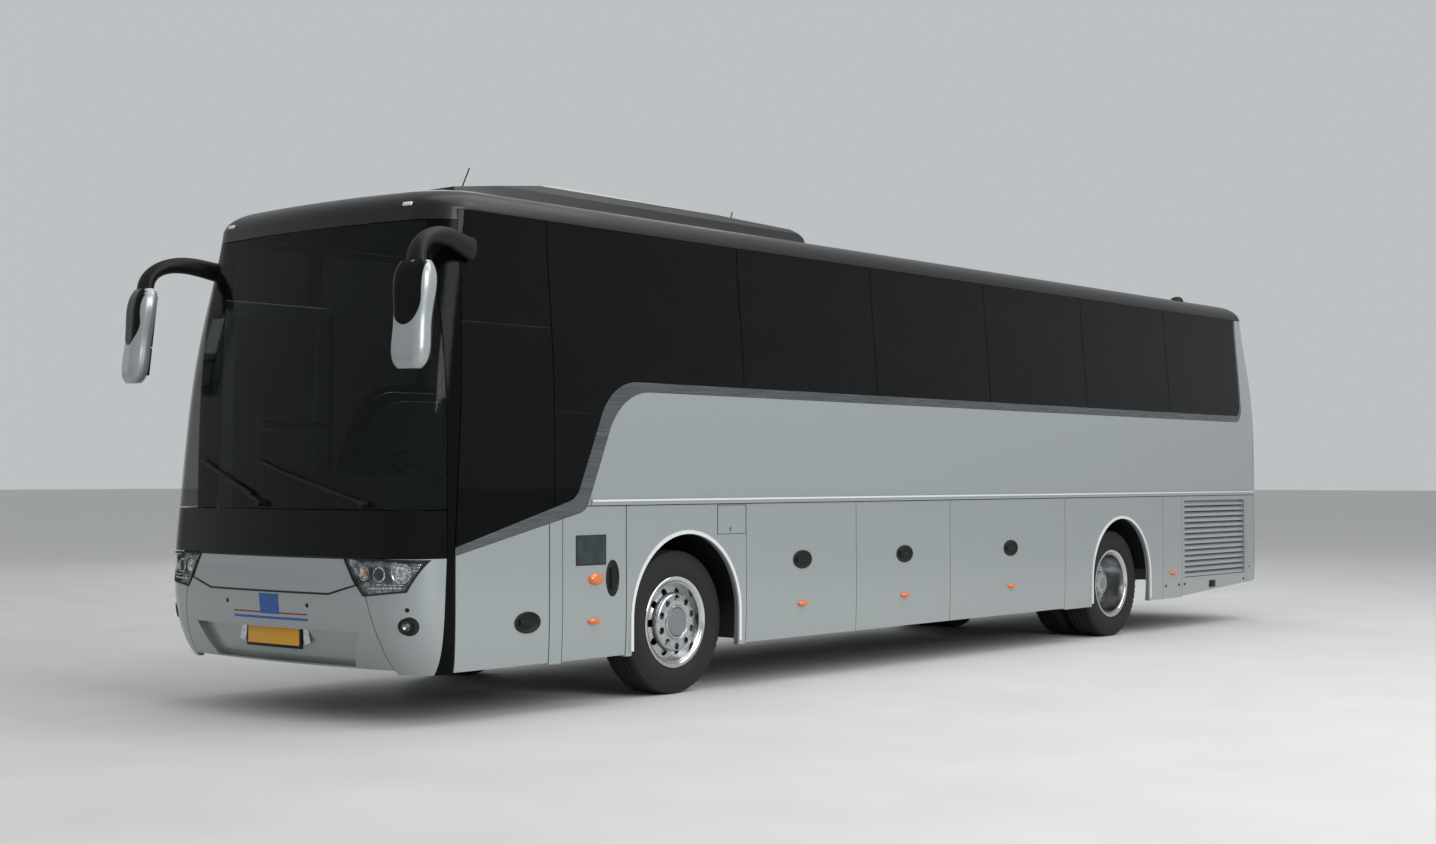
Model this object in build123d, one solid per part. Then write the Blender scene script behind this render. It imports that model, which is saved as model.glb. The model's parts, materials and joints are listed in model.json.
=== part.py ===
from build123d import *
import math
import os

# A 12.2 m two-axle touring coach, left-hand drive. Millimetres, +X forward, +Y to the coach's left, +Z up.
# The origin is on the ground, midway between the mirrors' front and the tail, on the centre plane.
# Lengths along the coach are given ahead of the front axle; fx() turns them to X.
FRONT_AXLE = 3360
WHEELBASE = 6400
HALF_WIDTH = 1275
WALL = 45
GLASS = 10
SEAM = 6

TYRE_RADIUS = 505
TYRE_HALF_WIDTH = 145
BEAD_RADIUS = 290
TRACK_Y = 1032
TWIN_SPACING = 335
KINGPIN_Y = 900

SKIRT_Z = 314
LOCKER_FOOT_Z = 326
LAMP_TOP_Z = 1030
SCREEN_FOOT_Z = 1322
BELT_Z = 1336
SCREEN_TOP_Z = 3128
EAVE_Z = 3200
SALOON_Z = 1300
PLATFORM_Z = 930
HOLD_Z = 345

TAIL_X = -9380
CORNER_R = 300
NOSE_R = 6500
TAIL_R = 170
LEAN_Z = 1500
LEAN_R = 17000
ARCH_R = 575
ARCH_Z = 558

os.makedirs("parts", exist_ok=True)


def fx(distance):
    return FRONT_AXLE + distance


def half_width(z):
    """The side tucks in at its foot, is upright to LEAN_Z, then leans in along a long arc."""
    if z < 430:
        return HALF_WIDTH - (430 - z) / 10
    if z <= LEAN_Z:
        return HALF_WIDTH
    return HALF_WIDTH - (LEAN_R - math.sqrt(LEAN_R**2 - (z - LEAN_Z) ** 2))


# z, nose ahead of the front axle, tail behind it, half width
BODY_ROWS = [
    (300, 2490, 9505, half_width(300)),
    (560, 2625, 9540, HALF_WIDTH),
    (1030, 2655, 9550, HALF_WIDTH),
    (1660, 2595, 9548, half_width(1660)),
    (2330, 2512, 9520, half_width(2330)),
    (3200, 2338, 9390, half_width(3200)),
]
ROOF_ROWS = [
    (3200, 2338, 9390, half_width(3200)),
    (3262, 2312, 9370, 1168),
    (3312, 2250, 9325, 1118),
    (3348, 2130, 9240, 1035),
    (3388, 1700, 8900, 620),
]


def plan_wire(z, nose, tail, half, inset):
    """One level of the body seen from above: bowed nose, round corners, straight sides and tail."""
    nose_x = fx(nose) - inset
    tail_x = fx(-tail) + inset
    side_y = half - inset
    front_r = CORNER_R - inset
    rear_r = TAIL_R - inset
    bow_r = NOSE_R - inset
    bow_x = nose_x - bow_r
    front_y = side_y - front_r
    front_x = bow_x + math.sqrt((bow_r - front_r) ** 2 - front_y**2)
    touch = math.atan2(front_y, front_x - bow_x)
    rear_x = tail_x + rear_r
    rear_y = side_y - rear_r
    # centre x, centre y, radius, angle
    marks = [
        (bow_x, 0, bow_r, touch),
        (front_x, front_y, front_r, (touch + math.pi / 2) / 2),
        (front_x, front_y, front_r, math.pi / 2),
        (rear_x, rear_y, rear_r, math.pi / 2),
        (rear_x, rear_y, rear_r, math.pi * 3 / 4),
        (rear_x, rear_y, rear_r, math.pi),
    ]
    left = [(cx + r * math.cos(a), cy + r * math.sin(a), z) for cx, cy, r, a in marks]
    right = [(x, -y, level) for x, y, level in left]
    edges = [
        ThreePointArc(right[0], (nose_x, 0, z), left[0]),
        ThreePointArc(*left[0:3]),
        Line(left[2], left[3]),
        ThreePointArc(*left[3:6]),
        Line(left[5], right[5]),
        ThreePointArc(right[5], right[4], right[3]),
        Line(right[3], right[2]),
        ThreePointArc(right[2], right[1], right[0]),
    ]
    return Wire(edges)


def body_loft(inset=0, spill=0):
    """The body below the eaves, shrunk all round by inset and run on by spill at top and bottom."""
    rows = [list(row) for row in BODY_ROWS]
    rows[0][0] -= spill
    rows[-1][0] += spill
    return Solid.make_loft([plan_wire(*row, inset) for row in rows], False)


def roof_loft(inset=0, drop=0):
    """The roof above the eaves; drop lowers its top for the ceiling."""
    rows = [(z - drop, nose, tail, half) for z, nose, tail, half in ROOF_ROWS]
    return Solid.make_loft([plan_wire(*row, inset) for row in rows], False)


def box(x, y, z):
    """A block from its (low, high) pairs; x is ahead of the front axle."""
    return Pos(fx(sum(x) / 2), sum(y) / 2, sum(z) / 2) * Box(x[1] - x[0], y[1] - y[0], z[1] - z[0])


def side_prism(points, y=(900, 1400), radii=None):
    """An outline of (ahead of front axle, z) points as seen from the side, made solid across y."""
    places = [(fx(x), y[0], z) for x, z in points]
    if radii:
        line = FilletPolyline(*places, radius=radii, close=True)
        face = Face(Wire(line.edges()))
    else:
        face = Face(Wire.make_polygon(places, close=True))
    return Solid.extrude(face, Vector(0, y[1] - y[0], 0))


def front_prism(points, x):
    """An outline of (y, z) points as seen from the front, made solid along x."""
    wire = Wire.make_polygon([(fx(x[0]), y, z) for y, z in points], close=True)
    return Solid.extrude(Face(wire), Vector(x[1] - x[0], 0, 0))


def plan_prism(points, z):
    """An outline of (ahead of front axle, y) points as seen from above, made solid along z."""
    wire = Wire.make_polygon([(fx(x), y, z[0]) for x, y in points], close=True)
    return Solid.extrude(Face(wire), Vector(0, 0, z[1] - z[0]))


def rod(start, end, radius):
    """A round bar between two (ahead of front axle, y, z) points."""
    a = Vector(fx(start[0]), start[1], start[2])
    b = Vector(fx(end[0]), end[1], end[2])
    plane = Plane(origin=a, z_dir=b - a)
    return Solid.make_cylinder(radius, (b - a).length, plane)


def flip(shape):
    """The same piece on the coach's right."""
    return shape.mirror(Plane.XZ)


def both(shape):
    return [shape, flip(shape)]


def save(name, *shapes):
    solids = [solid for shape in shapes for solid in shape.solids()]
    export_step(solids[0] if len(solids) == 1 else Compound(children=solids), f"parts/{name}.step")


# The body's three skins: the whole wall, its outer glass layer, and the frame that stands behind the glass.
outer = body_loft()
inner = body_loft(WALL, 2)
wall = outer - inner
behind_glass = body_loft(GLASS, 1)
glass = outer - behind_glass
frame = behind_glass - inner

# The bright band: its lower and upper edges seen from the side, with the radius of each corner.
BAND_FOOT = [(2262, 1027), (1033, 1303), (689, 2107), (-9120, 2107), (-9120, 2500)]
BAND_FOOT_R = [0, 130, 450, 150, 0]
BAND_HEAD = [(2262, 1073), (1122, 1385), (779, 2171), (-9085, 2171), (-9085, 2500)]
BAND_HEAD_R = [0, 150, 400, 110, 0]


def under(edge, radii, gap):
    """All of the side below a band edge, kept back from it by gap."""
    points = [(x - gap, z - gap) for x, z in edge]
    end = points[-1][0]
    points += [(end, 3300), (-9900, 3300), (-9900, 200), (points[0][0], 200)]
    return side_prism(points, radii=radii + [0, 0, 0, 0])


below_band = under(BAND_FOOT, BAND_FOOT_R, 2)
band = (wall & under(BAND_HEAD, BAND_HEAD_R, 0)) - under(BAND_FOOT, BAND_FOOT_R, 0)
# The trim comes in lengths: back end, front end
BAND_LENGTHS = [(600, 2197), (-8950, 600), (-9200, -8950)]
bands = [band & box(ends, (900, 1400), (900, 2490)) for ends in BAND_LENGTHS]
below_glass = under(BAND_HEAD, BAND_HEAD_R, -3)

# Doorways on the right: back edge, front edge, foot, head
FRONT_DOOR = (1180, 2100, 340, 2760)
MIDDLE_DOOR = (-5200, -4330, 340, 2060)


def doorway(door, grow=0):
    back, front, foot, head = door
    x = (back - grow, front + grow)
    z = (foot - grow, head + grow)
    return box(x, (-1400, -900), z)


def right_side(piece):
    """A left-side piece carried over to the right, with the doorways cut out of it."""
    piece = flip(piece)
    for door in (FRONT_DOOR, MIDDLE_DOOR):
        piece = piece - doorway(door, SEAM)
    return piece


# Side wall above the belt, with the moulding along its foot.
side_zone = side_prism([(1300, BELT_Z), (1300, EAVE_Z - 3), (TAIL_X + 6, EAVE_Z - 3), (TAIL_X + 6, BELT_Z)])
side_panel = wall & below_band & side_zone
moulding = box((TAIL_X + 8, 985), (HALF_WIDTH - 20, HALF_WIDTH + 8), (BELT_Z, BELT_Z + 40))
side_panel = side_panel + moulding
save("side_panels", side_panel, right_side(side_panel))
save("side_bands", *bands, *[right_side(piece) for piece in bands])

# Side windows: back edge, front edge
PANES = [
    (1334, 2126),
    (-641, 1326),
    (-2336, -649),
    (-4046, -2344),
    (-5756, -4054),
    (-7446, -5764),
    (-9083, -7454),
]
PANE_TOP_Z = EAVE_Z - 3
PILLAR_LINE = [(2193, 1090), (2117, 2600), (2088, PANE_TOP_Z)]


def pane_outline(back, front, border):
    """A window's outline; the driver's window follows the sloping front pillar."""
    foot = 900
    head = PANE_TOP_Z - border
    if front > 2000:
        edge = [(x - border, z) for x, z in PILLAR_LINE]
        edge[-1] = (edge[-1][0], head)
        edge = [(edge[0][0], foot)] + edge
    else:
        edge = [(front - border, foot), (front - border, head)]
    return [(back + border, foot)] + edge + [(back + border, head)]


glass_zone = glass - below_glass
panes = [glass_zone & side_prism(pane_outline(back, front, 0)) for back, front in PANES]
frame_zone = (frame - below_glass) & side_prism(pane_outline(PANES[-1][0], PANES[0][1], 0))
border_zone = under([(x, z + 55) for x, z in BAND_HEAD], BAND_HEAD_R, 0)
for back, front in PANES:
    frame_zone = frame_zone - (side_prism(pane_outline(back, front, 50)) - border_zone)
REAR_PANE = [(-920, 2160), (920, 2160), (860, 2960), (-860, 2960)]
rear_x = (TAIL_X - 400, TAIL_X)
rear_pane = glass & front_prism(REAR_PANE, rear_x)
save("window_frames", frame_zone, right_side(frame_zone))
save("body_glass", *panes, *[right_side(pane) for pane in panes], rear_pane)

# Skirt: the fixed pieces between the lids, then the lids. Back edge, front edge
SKIRT_LEFT = [(1259, 1373), (-652, 636), (-7254, -5311), (-7672, -7260), (TAIL_X + 6, -9203)]
SKIRT_RIGHT = [(2106, 2194), (-652, 1174), (-4324, -4283), (-7254, -5206), (-7672, -7260), (TAIL_X + 6, -9203)]
LOCKERS = [
    ("locker_left_front", -2026, -658, 1),
    ("locker_left_middle", -3376, -2032, 1),
    ("locker_left_rear", -5305, -3382, 1),
    ("locker_right_front", -2476, -658, -1),
    ("locker_right_rear", -4277, -2482, -1),
]
FLAPS = [("flap_left_front", 1382, 2194), ("flap_left_rear", 645, 1253)]
REAR_LIFT = [(-7675, LOCKER_FOOT_Z), (-9600, 428), (-9600, 200), (-7675, 200)]
rear_lift = side_prism(REAR_LIFT, (-1400, 1400))


def arch(axle, radius=ARCH_R, y=(900, 1400)):
    """The opening over a wheel: a half round on upright sides."""
    wheel_x = fx(axle)
    round_top = Pos(wheel_x, sum(y) / 2, ARCH_Z) * Rot(90, 0, 0) * Cylinder(radius, y[1] - y[0])
    return round_top + box((axle - radius, axle + radius), y, (200, ARCH_Z))


def lower_side(back, front, foot=SKIRT_Z, head=BELT_Z - 6):
    piece = wall & below_band & side_prism([(back, foot), (front, foot), (front, head), (back, head)])
    return piece - rear_lift


def skirt(back, front):
    piece = lower_side(back, front)
    for axle in (0, -WHEELBASE):
        if back < axle < front:
            piece = piece - arch(axle)
    return piece


save(
    "side_skirts",
    *[skirt(back, front) for back, front in SKIRT_LEFT],
    *[flip(skirt(back, front)) for back, front in SKIRT_RIGHT],
)
for name, back, front, side in LOCKERS:
    lid = lower_side(back, front, LOCKER_FOOT_Z)
    save(name, lid if side > 0 else flip(lid))
for name, back, front in FLAPS:
    save(name, lower_side(back, front, LOCKER_FOOT_Z))

# Radiator grille in the rear of each side: a lid with sloping slats.
GRILLE_X = (-9150, -7730)
GRILLE_Z = (510, 1285)
SLATS = 14
SLAT_TILT = -56
SLAT_SIZE = (54, 8)
grille = lower_side(-9197, -7678, LOCKER_FOOT_Z)
grille = grille - box(GRILLE_X, (900, 1400), GRILLE_Z)
slat_pitch = (GRILLE_Z[1] - GRILLE_Z[0]) / SLATS
slat_length = GRILLE_X[1] - GRILLE_X[0] + 20
for count in range(SLATS):
    height = GRILLE_Z[0] + slat_pitch * (count + 0.5)
    place = Pos(fx(sum(GRILLE_X) / 2), HALF_WIDTH - 24, height)
    grille = grille + place * Rot(SLAT_TILT, 0, 0) * Box(slat_length, *SLAT_SIZE)
save("grille_left", grille)
save("grille_right", flip(grille))

# Front: outlines seen from the front, (y, z) on the left half, then mirrored.
LAMP = [(735, 1027), (1252, 1012), (1176, 832), (892, 801)]
FRONT_FLAP = [(727, 1027), (829, 864), (600, 803)]
BUMPER = [(600, 797), (832, 858), (885, 797), (905, 797), (972, 530), (1030, 200)]
front_x = (2150, 2800)
CORNER_X = 2268
CORNER_FOOT_X = 2304


def whole(points):
    """A left-half outline joined to its mirror image."""
    return points + [(-y, z) for y, z in reversed(points)]


side_edge = [(2268, 1000), (2268, 1340), (2261, 2600), (2241, SCREEN_TOP_Z)]
ahead = side_prism(side_edge + [(2900, SCREEN_TOP_Z), (2900, 1000)], (-1400, 1400))
windscreen = glass & ahead & box((2000, 2900), (-1400, 1400), (SCREEN_FOOT_Z + 3, SCREEN_TOP_Z - 3))
save("windscreen", windscreen)
front_panel = wall & ahead & box((2000, 2900), (-1400, 1400), (LAMP_TOP_Z + 3, SCREEN_FOOT_Z - 3))
save("front_panel", front_panel)
save("front_flap", wall & front_prism(whole(FRONT_FLAP), front_x))
lamp = wall & front_prism(LAMP, (CORNER_X, 2800))
save("headlamps", *both(lamp))

bumper_shell = outer - body_loft(110, 4)
bumper = bumper_shell & front_prism(whole(BUMPER), front_x) & box(front_x, (-1400, 1400), (340, 900))
RECESS = [(820, 572), (700, 352), (-700, 352), (-820, 572)]
bumper = bumper - (wall & front_prism(RECESS, front_x))
save("bumper", bumper)

LAMP_HOLE = [(729, 1036), (1259, 1021), (1180, 826), (889, 795)]
BUMPER_HOLE = [(600, 806), (840, 866), (911, 800), (978, 530), (1036, 200), (0, 200), (0, 806)]
FLAP_HOLE = [(0, 200), (0, 1100), (735, 1100), (892, 795), (892, 200)]
CORNER_SIDE = [
    (CORNER_FOOT_X, SKIRT_Z),
    (CORNER_X, LAMP_TOP_Z - 3),
    (2900, LAMP_TOP_Z - 3),
    (2900, SKIRT_Z),
]
corner = wall & side_prism(CORNER_SIDE, (0, 1400))
for hole in (LAMP_HOLE, BUMPER_HOLE, FLAP_HOLE):
    corner = corner - front_prism(hole, front_x)
FOG = (1066, 620)
FOG_TURN = math.radians(32)
fog_axis = Plane(origin=(fx(2300), *FOG), z_dir=(math.cos(FOG_TURN), math.sin(FOG_TURN), 0))
corner = corner - Solid.make_cylinder(58, 500, fog_axis)
fog = Solid.make_cylinder(54, 500, fog_axis) & (outer - body_loft(60, 4))
save("bumper_corners", *both(corner))
save("fog_lamps", *both(fog))

# A black pillar stands between the front and each side, from the skirt's foot to the eaves.
PILLAR = [
    (2203, SKIRT_Z),
    (CORNER_FOOT_X - SEAM, SKIRT_Z),
    (CORNER_X - SEAM, LAMP_TOP_Z),
    (CORNER_X - SEAM, 1340),
    (2255, 2600),
    (2235, 3125),
    (2094, 3125),
    (2123, 2600),
    (2203, 1094),
]
save("windscreen_surround", *both(wall & side_prism(PILLAR)))
header = wall & box((2094, 2900), (-1400, 1400), (SCREEN_TOP_Z + 3, EAVE_Z))

# Rear: a lid over the engine between the lamp columns, the bumper below and the window above.
LID_Z = (566, 1500)
LID_Y = 960
LAMP_REAR = [(1006, 900), (1180, 900), (1180, 1440), (1006, 1440)]
rear_zone = box(rear_x, (-1400, 1400), (LID_Z[0], EAVE_Z - 3))
rear_wall = wall & rear_zone
rear_wall = rear_wall - box(rear_x, (-LID_Y - SEAM, LID_Y + SEAM), (300, LID_Z[1] + SEAM))
rear_wall = rear_wall - rear_pane
REAR_OPENING = [(-865, 2215), (865, 2215), (808, 2905), (-808, 2905)]
rear_wall = rear_wall - front_prism(REAR_OPENING, rear_x)
rear_lamp = wall & front_prism(LAMP_REAR, rear_x)
rear_wall = rear_wall - rear_lamp - flip(rear_lamp)
save("rear_wall", rear_wall)
save("rear_lamps", *both(rear_lamp))
save("engine_lid", wall & box(rear_x, (-LID_Y, LID_Y), LID_Z))
save("rear_bumper", wall & box(rear_x, (-1400, 1400), (425, LID_Z[0] - SEAM)))

# Roof shell, air conditioning unit and aerials
roof_outer = roof_loft()
roof = roof_outer - roof_loft(WALL, 36)
save("roof", roof, header)
UNIT_SIDE = [(1900, 3300), (1900, 3384), (1020, 3500), (740, 3552), (-1735, 3472), (-1825, 3410), (-1825, 3300)]
UNIT_FRONT = [(960, 3300), (900, 3440), (820, 3500), (500, 3600)]
unit = side_prism(UNIT_SIDE, (-1000, 1000)) & front_prism(whole(UNIT_FRONT), (-2100, 2000))
save("roof_unit", unit - roof_outer)
# ahead of front axle, height of the foot
AERIALS = [(1000, 3515), (-1960, 3405)]
whips = []
for x, z in AERIALS:
    whip = Pos(fx(x), 0, z) * Cylinder(34, 60) + rod((x, 0, z), (x - 100, 0, 3720), 5)
    whips.append(whip - roof_outer - unit)
save("aerials", *whips)

# Under the floor: a ladder of beams ahead of the luggage hold and another behind it, joined by shallow beams below
# the hold. Each beam is a straight bar that butts against the next.
RAIL_Y = (330, 430)
TAIL_RAIL_Y = (500, 580)
RAIL_Z = (640, 780)
CROSS_Z = (660, 740)
POST_Z = (295, 780)
HOLD_BEAM_Z = (295, HOLD_Z)
# back, front, y pair, z pair
BEAMS = [
    (-640, 2350, RAIL_Y, RAIL_Z),
    (-700, -640, RAIL_Y, POST_Z),
    (-5280, -700, RAIL_Y, HOLD_BEAM_Z),
    (-5340, -5280, RAIL_Y, POST_Z),
    (-7560, -5340, RAIL_Y, RAIL_Z),
    (-9340, -7700, TAIL_RAIL_Y, CROSS_Z),
]
# back, front, half length
CROSSES = [
    (2290, 2350, RAIL_Y[0]),
    (1290, 1350, RAIL_Y[0]),
    (-700, -640, RAIL_Y[0]),
    (-5340, -5280, RAIL_Y[0]),
    (-7700, -7560, TAIL_RAIL_Y[1]),
    (-9400, -9340, TAIL_RAIL_Y[1]),
]
TOW_EYE = (-9440, 395)
TOW_EYE_RADIUS = 22
LUG_Z = (380, 410)
beams = [box((back, front), y, z) for back, front, y, z in BEAMS]
beams += [flip(beam) for beam in beams]
beams += [box((back, front), (-reach, reach), CROSS_Z) for back, front, reach in CROSSES]
eye = Pos(fx(TOW_EYE[0]), 0, TOW_EYE[1]) * Cylinder(TOW_EYE_RADIUS, 60)
lug = box((-9480, -9340), (-60, 60), LUG_Z) - eye
stem = box((-9400, -9340), (-60, 60), (LUG_Z[1], CROSS_Z[0]))
save("chassis_frame", *beams, lug, stem)

# The hold's floor leaves room for the well behind the middle door. Back, front, y pair, z pair
HOLD_PLATES = [
    (-5280, -700, (-470, 1205), (HOLD_Z, HOLD_Z + 20)),
    (-4318, -700, (-1205, -470), (HOLD_Z, HOLD_Z + 20)),
    (-5280, -5212, (-1205, -470), (HOLD_Z, HOLD_Z + 20)),
    (-725, -700, (-1205, 1205), (HOLD_Z + 20, SALOON_Z - 46)),
    (-5280, -5255, (-1205, 1205), (HOLD_Z + 20, SALOON_Z - 46)),
]
save("luggage_hold", *[box((back, front), y, z) for back, front, y, z in HOLD_PLATES])

# Saloon floor, the driver's lower platform and the riser between them
FLOOR_PLATES = [
    (-9300, 640, (-480, 1222), (SALOON_Z - 40, SALOON_Z)),
    (-4324, 640, (-1222, -480), (SALOON_Z - 40, SALOON_Z)),
    (-9300, -5206, (-1222, -480), (SALOON_Z - 40, SALOON_Z)),
    (640, 660, (-1222, 1222), (PLATFORM_Z - 40, SALOON_Z)),
    (660, 2180, (-455, 1222), (PLATFORM_Z - 40, PLATFORM_Z)),
]
# Steps inside the two doorways: outer y, inner y, height
FRONT_TREADS = [(-1215, -965, 390), (-965, -715, 570), (-715, -465, 750)]
MIDDLE_TREADS = [(-1215, -1040, 390), (-1040, -865, 620), (-865, -690, 850), (-690, -505, 1080)]
STEP = 25
CHEEK = 20


def stair(back, front, treads, head):
    """Treads with a riser under each one's outer edge, a wall behind the last and a cheek at each end."""
    across = (back + CHEEK, front - CHEEK)
    plates = []
    below = None
    for out, into, z in treads:
        plates.append(box(across, (out, into), (z - STEP, z)))
        if below:
            plates.append(box(across, (out, out + STEP), (below - STEP, z - STEP)))
        below = z
    inmost = treads[-1][1]
    plates.append(box(across, (inmost, inmost + CHEEK), (below - STEP, head)))
    for x in (back, front - CHEEK):
        plates.append(box((x, x + CHEEK), (treads[0][0], inmost + CHEEK), (HOLD_Z, head)))
    return plates


plates = [box((back, front), y, z) for back, front, y, z in FLOOR_PLATES]
plates += stair(1170, 2180, FRONT_TREADS, PLATFORM_Z - 40)
plates += stair(-5206, -4324, MIDDLE_TREADS, SALOON_Z - 40)
save("saloon_floor", *plates)

liners = []
for axle in (0, -WHEELBASE):
    shell = arch(axle, ARCH_R + 17, (470, 1226)) - arch(axle, ARCH_R + 5, (480, 1400))
    shell = shell - box((axle - 700, axle + 700), (400, 1400), (-100, 620))
    liners += both(shell)
save("wheelhouses", *liners)

save("engine", box((-9250, -7780), (-400, 400), (430, 1240)))

# Axles, knuckles and wheels. The wheels turn about z = TYRE_RADIUS.
HUB_Z = TYRE_RADIUS


def across(y0, y1, radius, axle=0):
    """A round bar across the coach at hub height."""
    return rod((axle, y0, HUB_Z), (axle, y1, HUB_Z), radius)


AXLE_BEAM = [(860, 465), (860, 545), (780, 545), (650, 470), (-650, 470), (-780, 545), (-860, 545), (-860, 465), (-760, 440), (-640, 380), (640, 380), (760, 440)]
front_axle = front_prism(AXLE_BEAM, (-45, 45))
for side in (1, -1):
    pin_x = fx(0)
    front_axle = front_axle + Pos(pin_x, KINGPIN_Y * side, HUB_Z) * Cylinder(54, 118)
    front_axle = front_axle - Pos(pin_x, KINGPIN_Y * side, HUB_Z) * Cylinder(33, 200)
    front_axle = front_axle + rod((0, 370 * side, 460), (0, 370 * side, 636), 75)
save("front_axle", front_axle)

knuckle = Pos(fx(0), KINGPIN_Y, HUB_Z) * Cylinder(26, 240)
for z in (HUB_Z - 92, HUB_Z + 92):
    knuckle = knuckle + Pos(fx(0), KINGPIN_Y, z) * Cylinder(56, 54)
    knuckle = knuckle + box((-56, 56), (KINGPIN_Y, KINGPIN_Y + 100), (z - 27, z + 27))
knuckle = knuckle + box((-70, 70), (KINGPIN_Y + 66, KINGPIN_Y + 100), (HUB_Z - 119, HUB_Z + 119))
knuckle = knuckle + across(KINGPIN_Y + 90, KINGPIN_Y + 182, 60)
knuckle = knuckle + across(KINGPIN_Y + 100, KINGPIN_Y + 150, 205)
save("knuckle_left", knuckle)
save("knuckle_right", flip(knuckle))

rear_axle = across(-860, 860, 88, -WHEELBASE)
rear_axle = rear_axle + Pos(fx(-WHEELBASE), 0, HUB_Z) * Sphere(185)
rear_axle = rear_axle + rod((-WHEELBASE, 0, HUB_Z), (-WHEELBASE - 420, 0, HUB_Z + 30), 80)
for side in (1, -1):
    rear_axle = rear_axle + across(560 * side, 660 * side, 205, -WHEELBASE)
    for step in (-330, 330):
        rear_axle = rear_axle + rod((-WHEELBASE + step, 370 * side, 460), (-WHEELBASE + step, 370 * side, 636), 90)
    rear_axle = rear_axle + box((-WHEELBASE - 420, -WHEELBASE + 420), (min(320 * side, 440 * side), max(320 * side, 440 * side)), (420, 500))
save("rear_axle", rear_axle)

# Tyre section as (radius, y) from the middle plane; y is outwards.
TYRE = [(BEAD_RADIUS, 104), (400, TYRE_HALF_WIDTH), (TYRE_RADIUS, 112)]
TYRE_SECTION = TYRE + [(radius, -y) for radius, y in reversed(TYRE)]
BARREL = [(276, 112), (298, 124), (298, 111), (287, 107), (287, -107), (298, -111), (298, -122)]
FRONT_RIM = [(0, 60), (0, 128), (90, 128), (104, 116), (104, 100), (180, 100), (225, 80), (266, 70)] + BARREL
FRONT_RIM += [(276, -112), (270, 52), (225, 64), (180, 84), (104, 84), (104, 60)]
OUTER_RIM = [(0, -166), (0, 35), (76, 35), (112, 18), (118, -148), (190, -150), (240, -135), (262, -92)]
OUTER_RIM += BARREL + [(255, -150), (190, -166)]
INNER_RIM = [(130, 166), (190, 166), (255, 150)] + [(radius, -y) for radius, y in reversed(BARREL)]
INNER_RIM += [(262, 92), (240, 135), (190, 150), (130, 150)]
HAND_HOLES = 10
HAND_HOLE_RADIUS = 27
HOLE_CIRCLE = 218


def spin(section):
    """A ring turned about the coach's cross axis from (radius, y) points."""
    wire = Wire.make_polygon([(radius, y, 0) for radius, y in section], close=True)
    return Solid.revolve(Face(wire), 360, Axis.Y)


def drilled(rim):
    for count in range(HAND_HOLES):
        angle = 360 * count / HAND_HOLES
        rim = rim - Rot(0, angle, 0) * Pos(HOLE_CIRCLE, 0, 0) * Rot(90, 0, 0) * Cylinder(HAND_HOLE_RADIUS, 420)
    return rim


front_place = Pos(fx(0), TRACK_Y, HUB_Z)
outer_place = Pos(fx(-WHEELBASE), TRACK_Y, HUB_Z)
inner_place = Pos(fx(-WHEELBASE), TRACK_Y - TWIN_SPACING, HUB_Z)
tyre = spin(TYRE_SECTION)
front_rim = front_place * drilled(spin(FRONT_RIM))
twin_tyres = [outer_place * tyre, inner_place * tyre]
twin_rims = [outer_place * drilled(spin(OUTER_RIM)), inner_place * drilled(spin(INNER_RIM))]
for side, turn in (("left", lambda piece: piece), ("right", flip)):
    save(f"front_tyre_{side}", turn(front_place * tyre))
    save(f"front_rim_{side}", turn(front_rim))
    save(f"rear_tyres_{side}", *[turn(piece) for piece in twin_tyres])
    save(f"rear_rims_{side}", *[turn(piece) for piece in twin_rims])

# Doors: a leaf on a cranked arm that turns about a post just behind the doorway.
ARM_REACH = 520
POST_Y = -1090
PIVOT_Y = -1130


def door_leaf(door, window):
    back, front, foot, head = door
    leaf = flip(wall) & doorway((back + 8, front, foot, head))
    pane = None
    if window:
        opening = box((back + 60, front - 60), (-1400, -900), (window, head - 60))
        pane = flip(glass) & opening
        leaf = leaf - pane - box((back + 95, front - 95), (-1400, -900), (window + 35, head - 95))
    else:
        leaf = leaf + box((back + 8, front), (-HALF_WIDTH - 8, -HALF_WIDTH + 20), (BELT_Z, BELT_Z + 40))
    return leaf, pane


def door_arm(door, levels):
    """Post and two cranked arms, at rest along the inside of the leaf."""
    back, foot, head = door[0], door[2], door[3]
    post_x = back + 70
    arm = rod((post_x, POST_Y, foot + 70), (post_x, POST_Y, head - 60), 22)
    for z in levels:
        elbow = (post_x + 155, POST_Y + 127, z)
        pivot = (post_x + ARM_REACH, PIVOT_Y, z)
        arm = arm + rod((post_x, POST_Y, z), elbow, 18) + Pos(fx(elbow[0]), elbow[1], z) * Sphere(18)
        arm = arm + rod(elbow, pivot, 18) + Pos(fx(pivot[0]), PIVOT_Y, z) * Cylinder(26, 50)
    return arm


def lugs(door, levels):
    """Brackets on the leaf's inner face that hold the arms' outer pins."""
    pivot_x = door[0] + 70 + ARM_REACH
    pieces = []
    for z in levels:
        inner_y = -(half_width(z) - WALL) - 12
        for step in (-41, 41):
            pieces.append(box((pivot_x - 26, pivot_x + 26), (inner_y, PIVOT_Y + 26), (z + step - 10, z + step + 10)))
    return pieces


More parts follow.
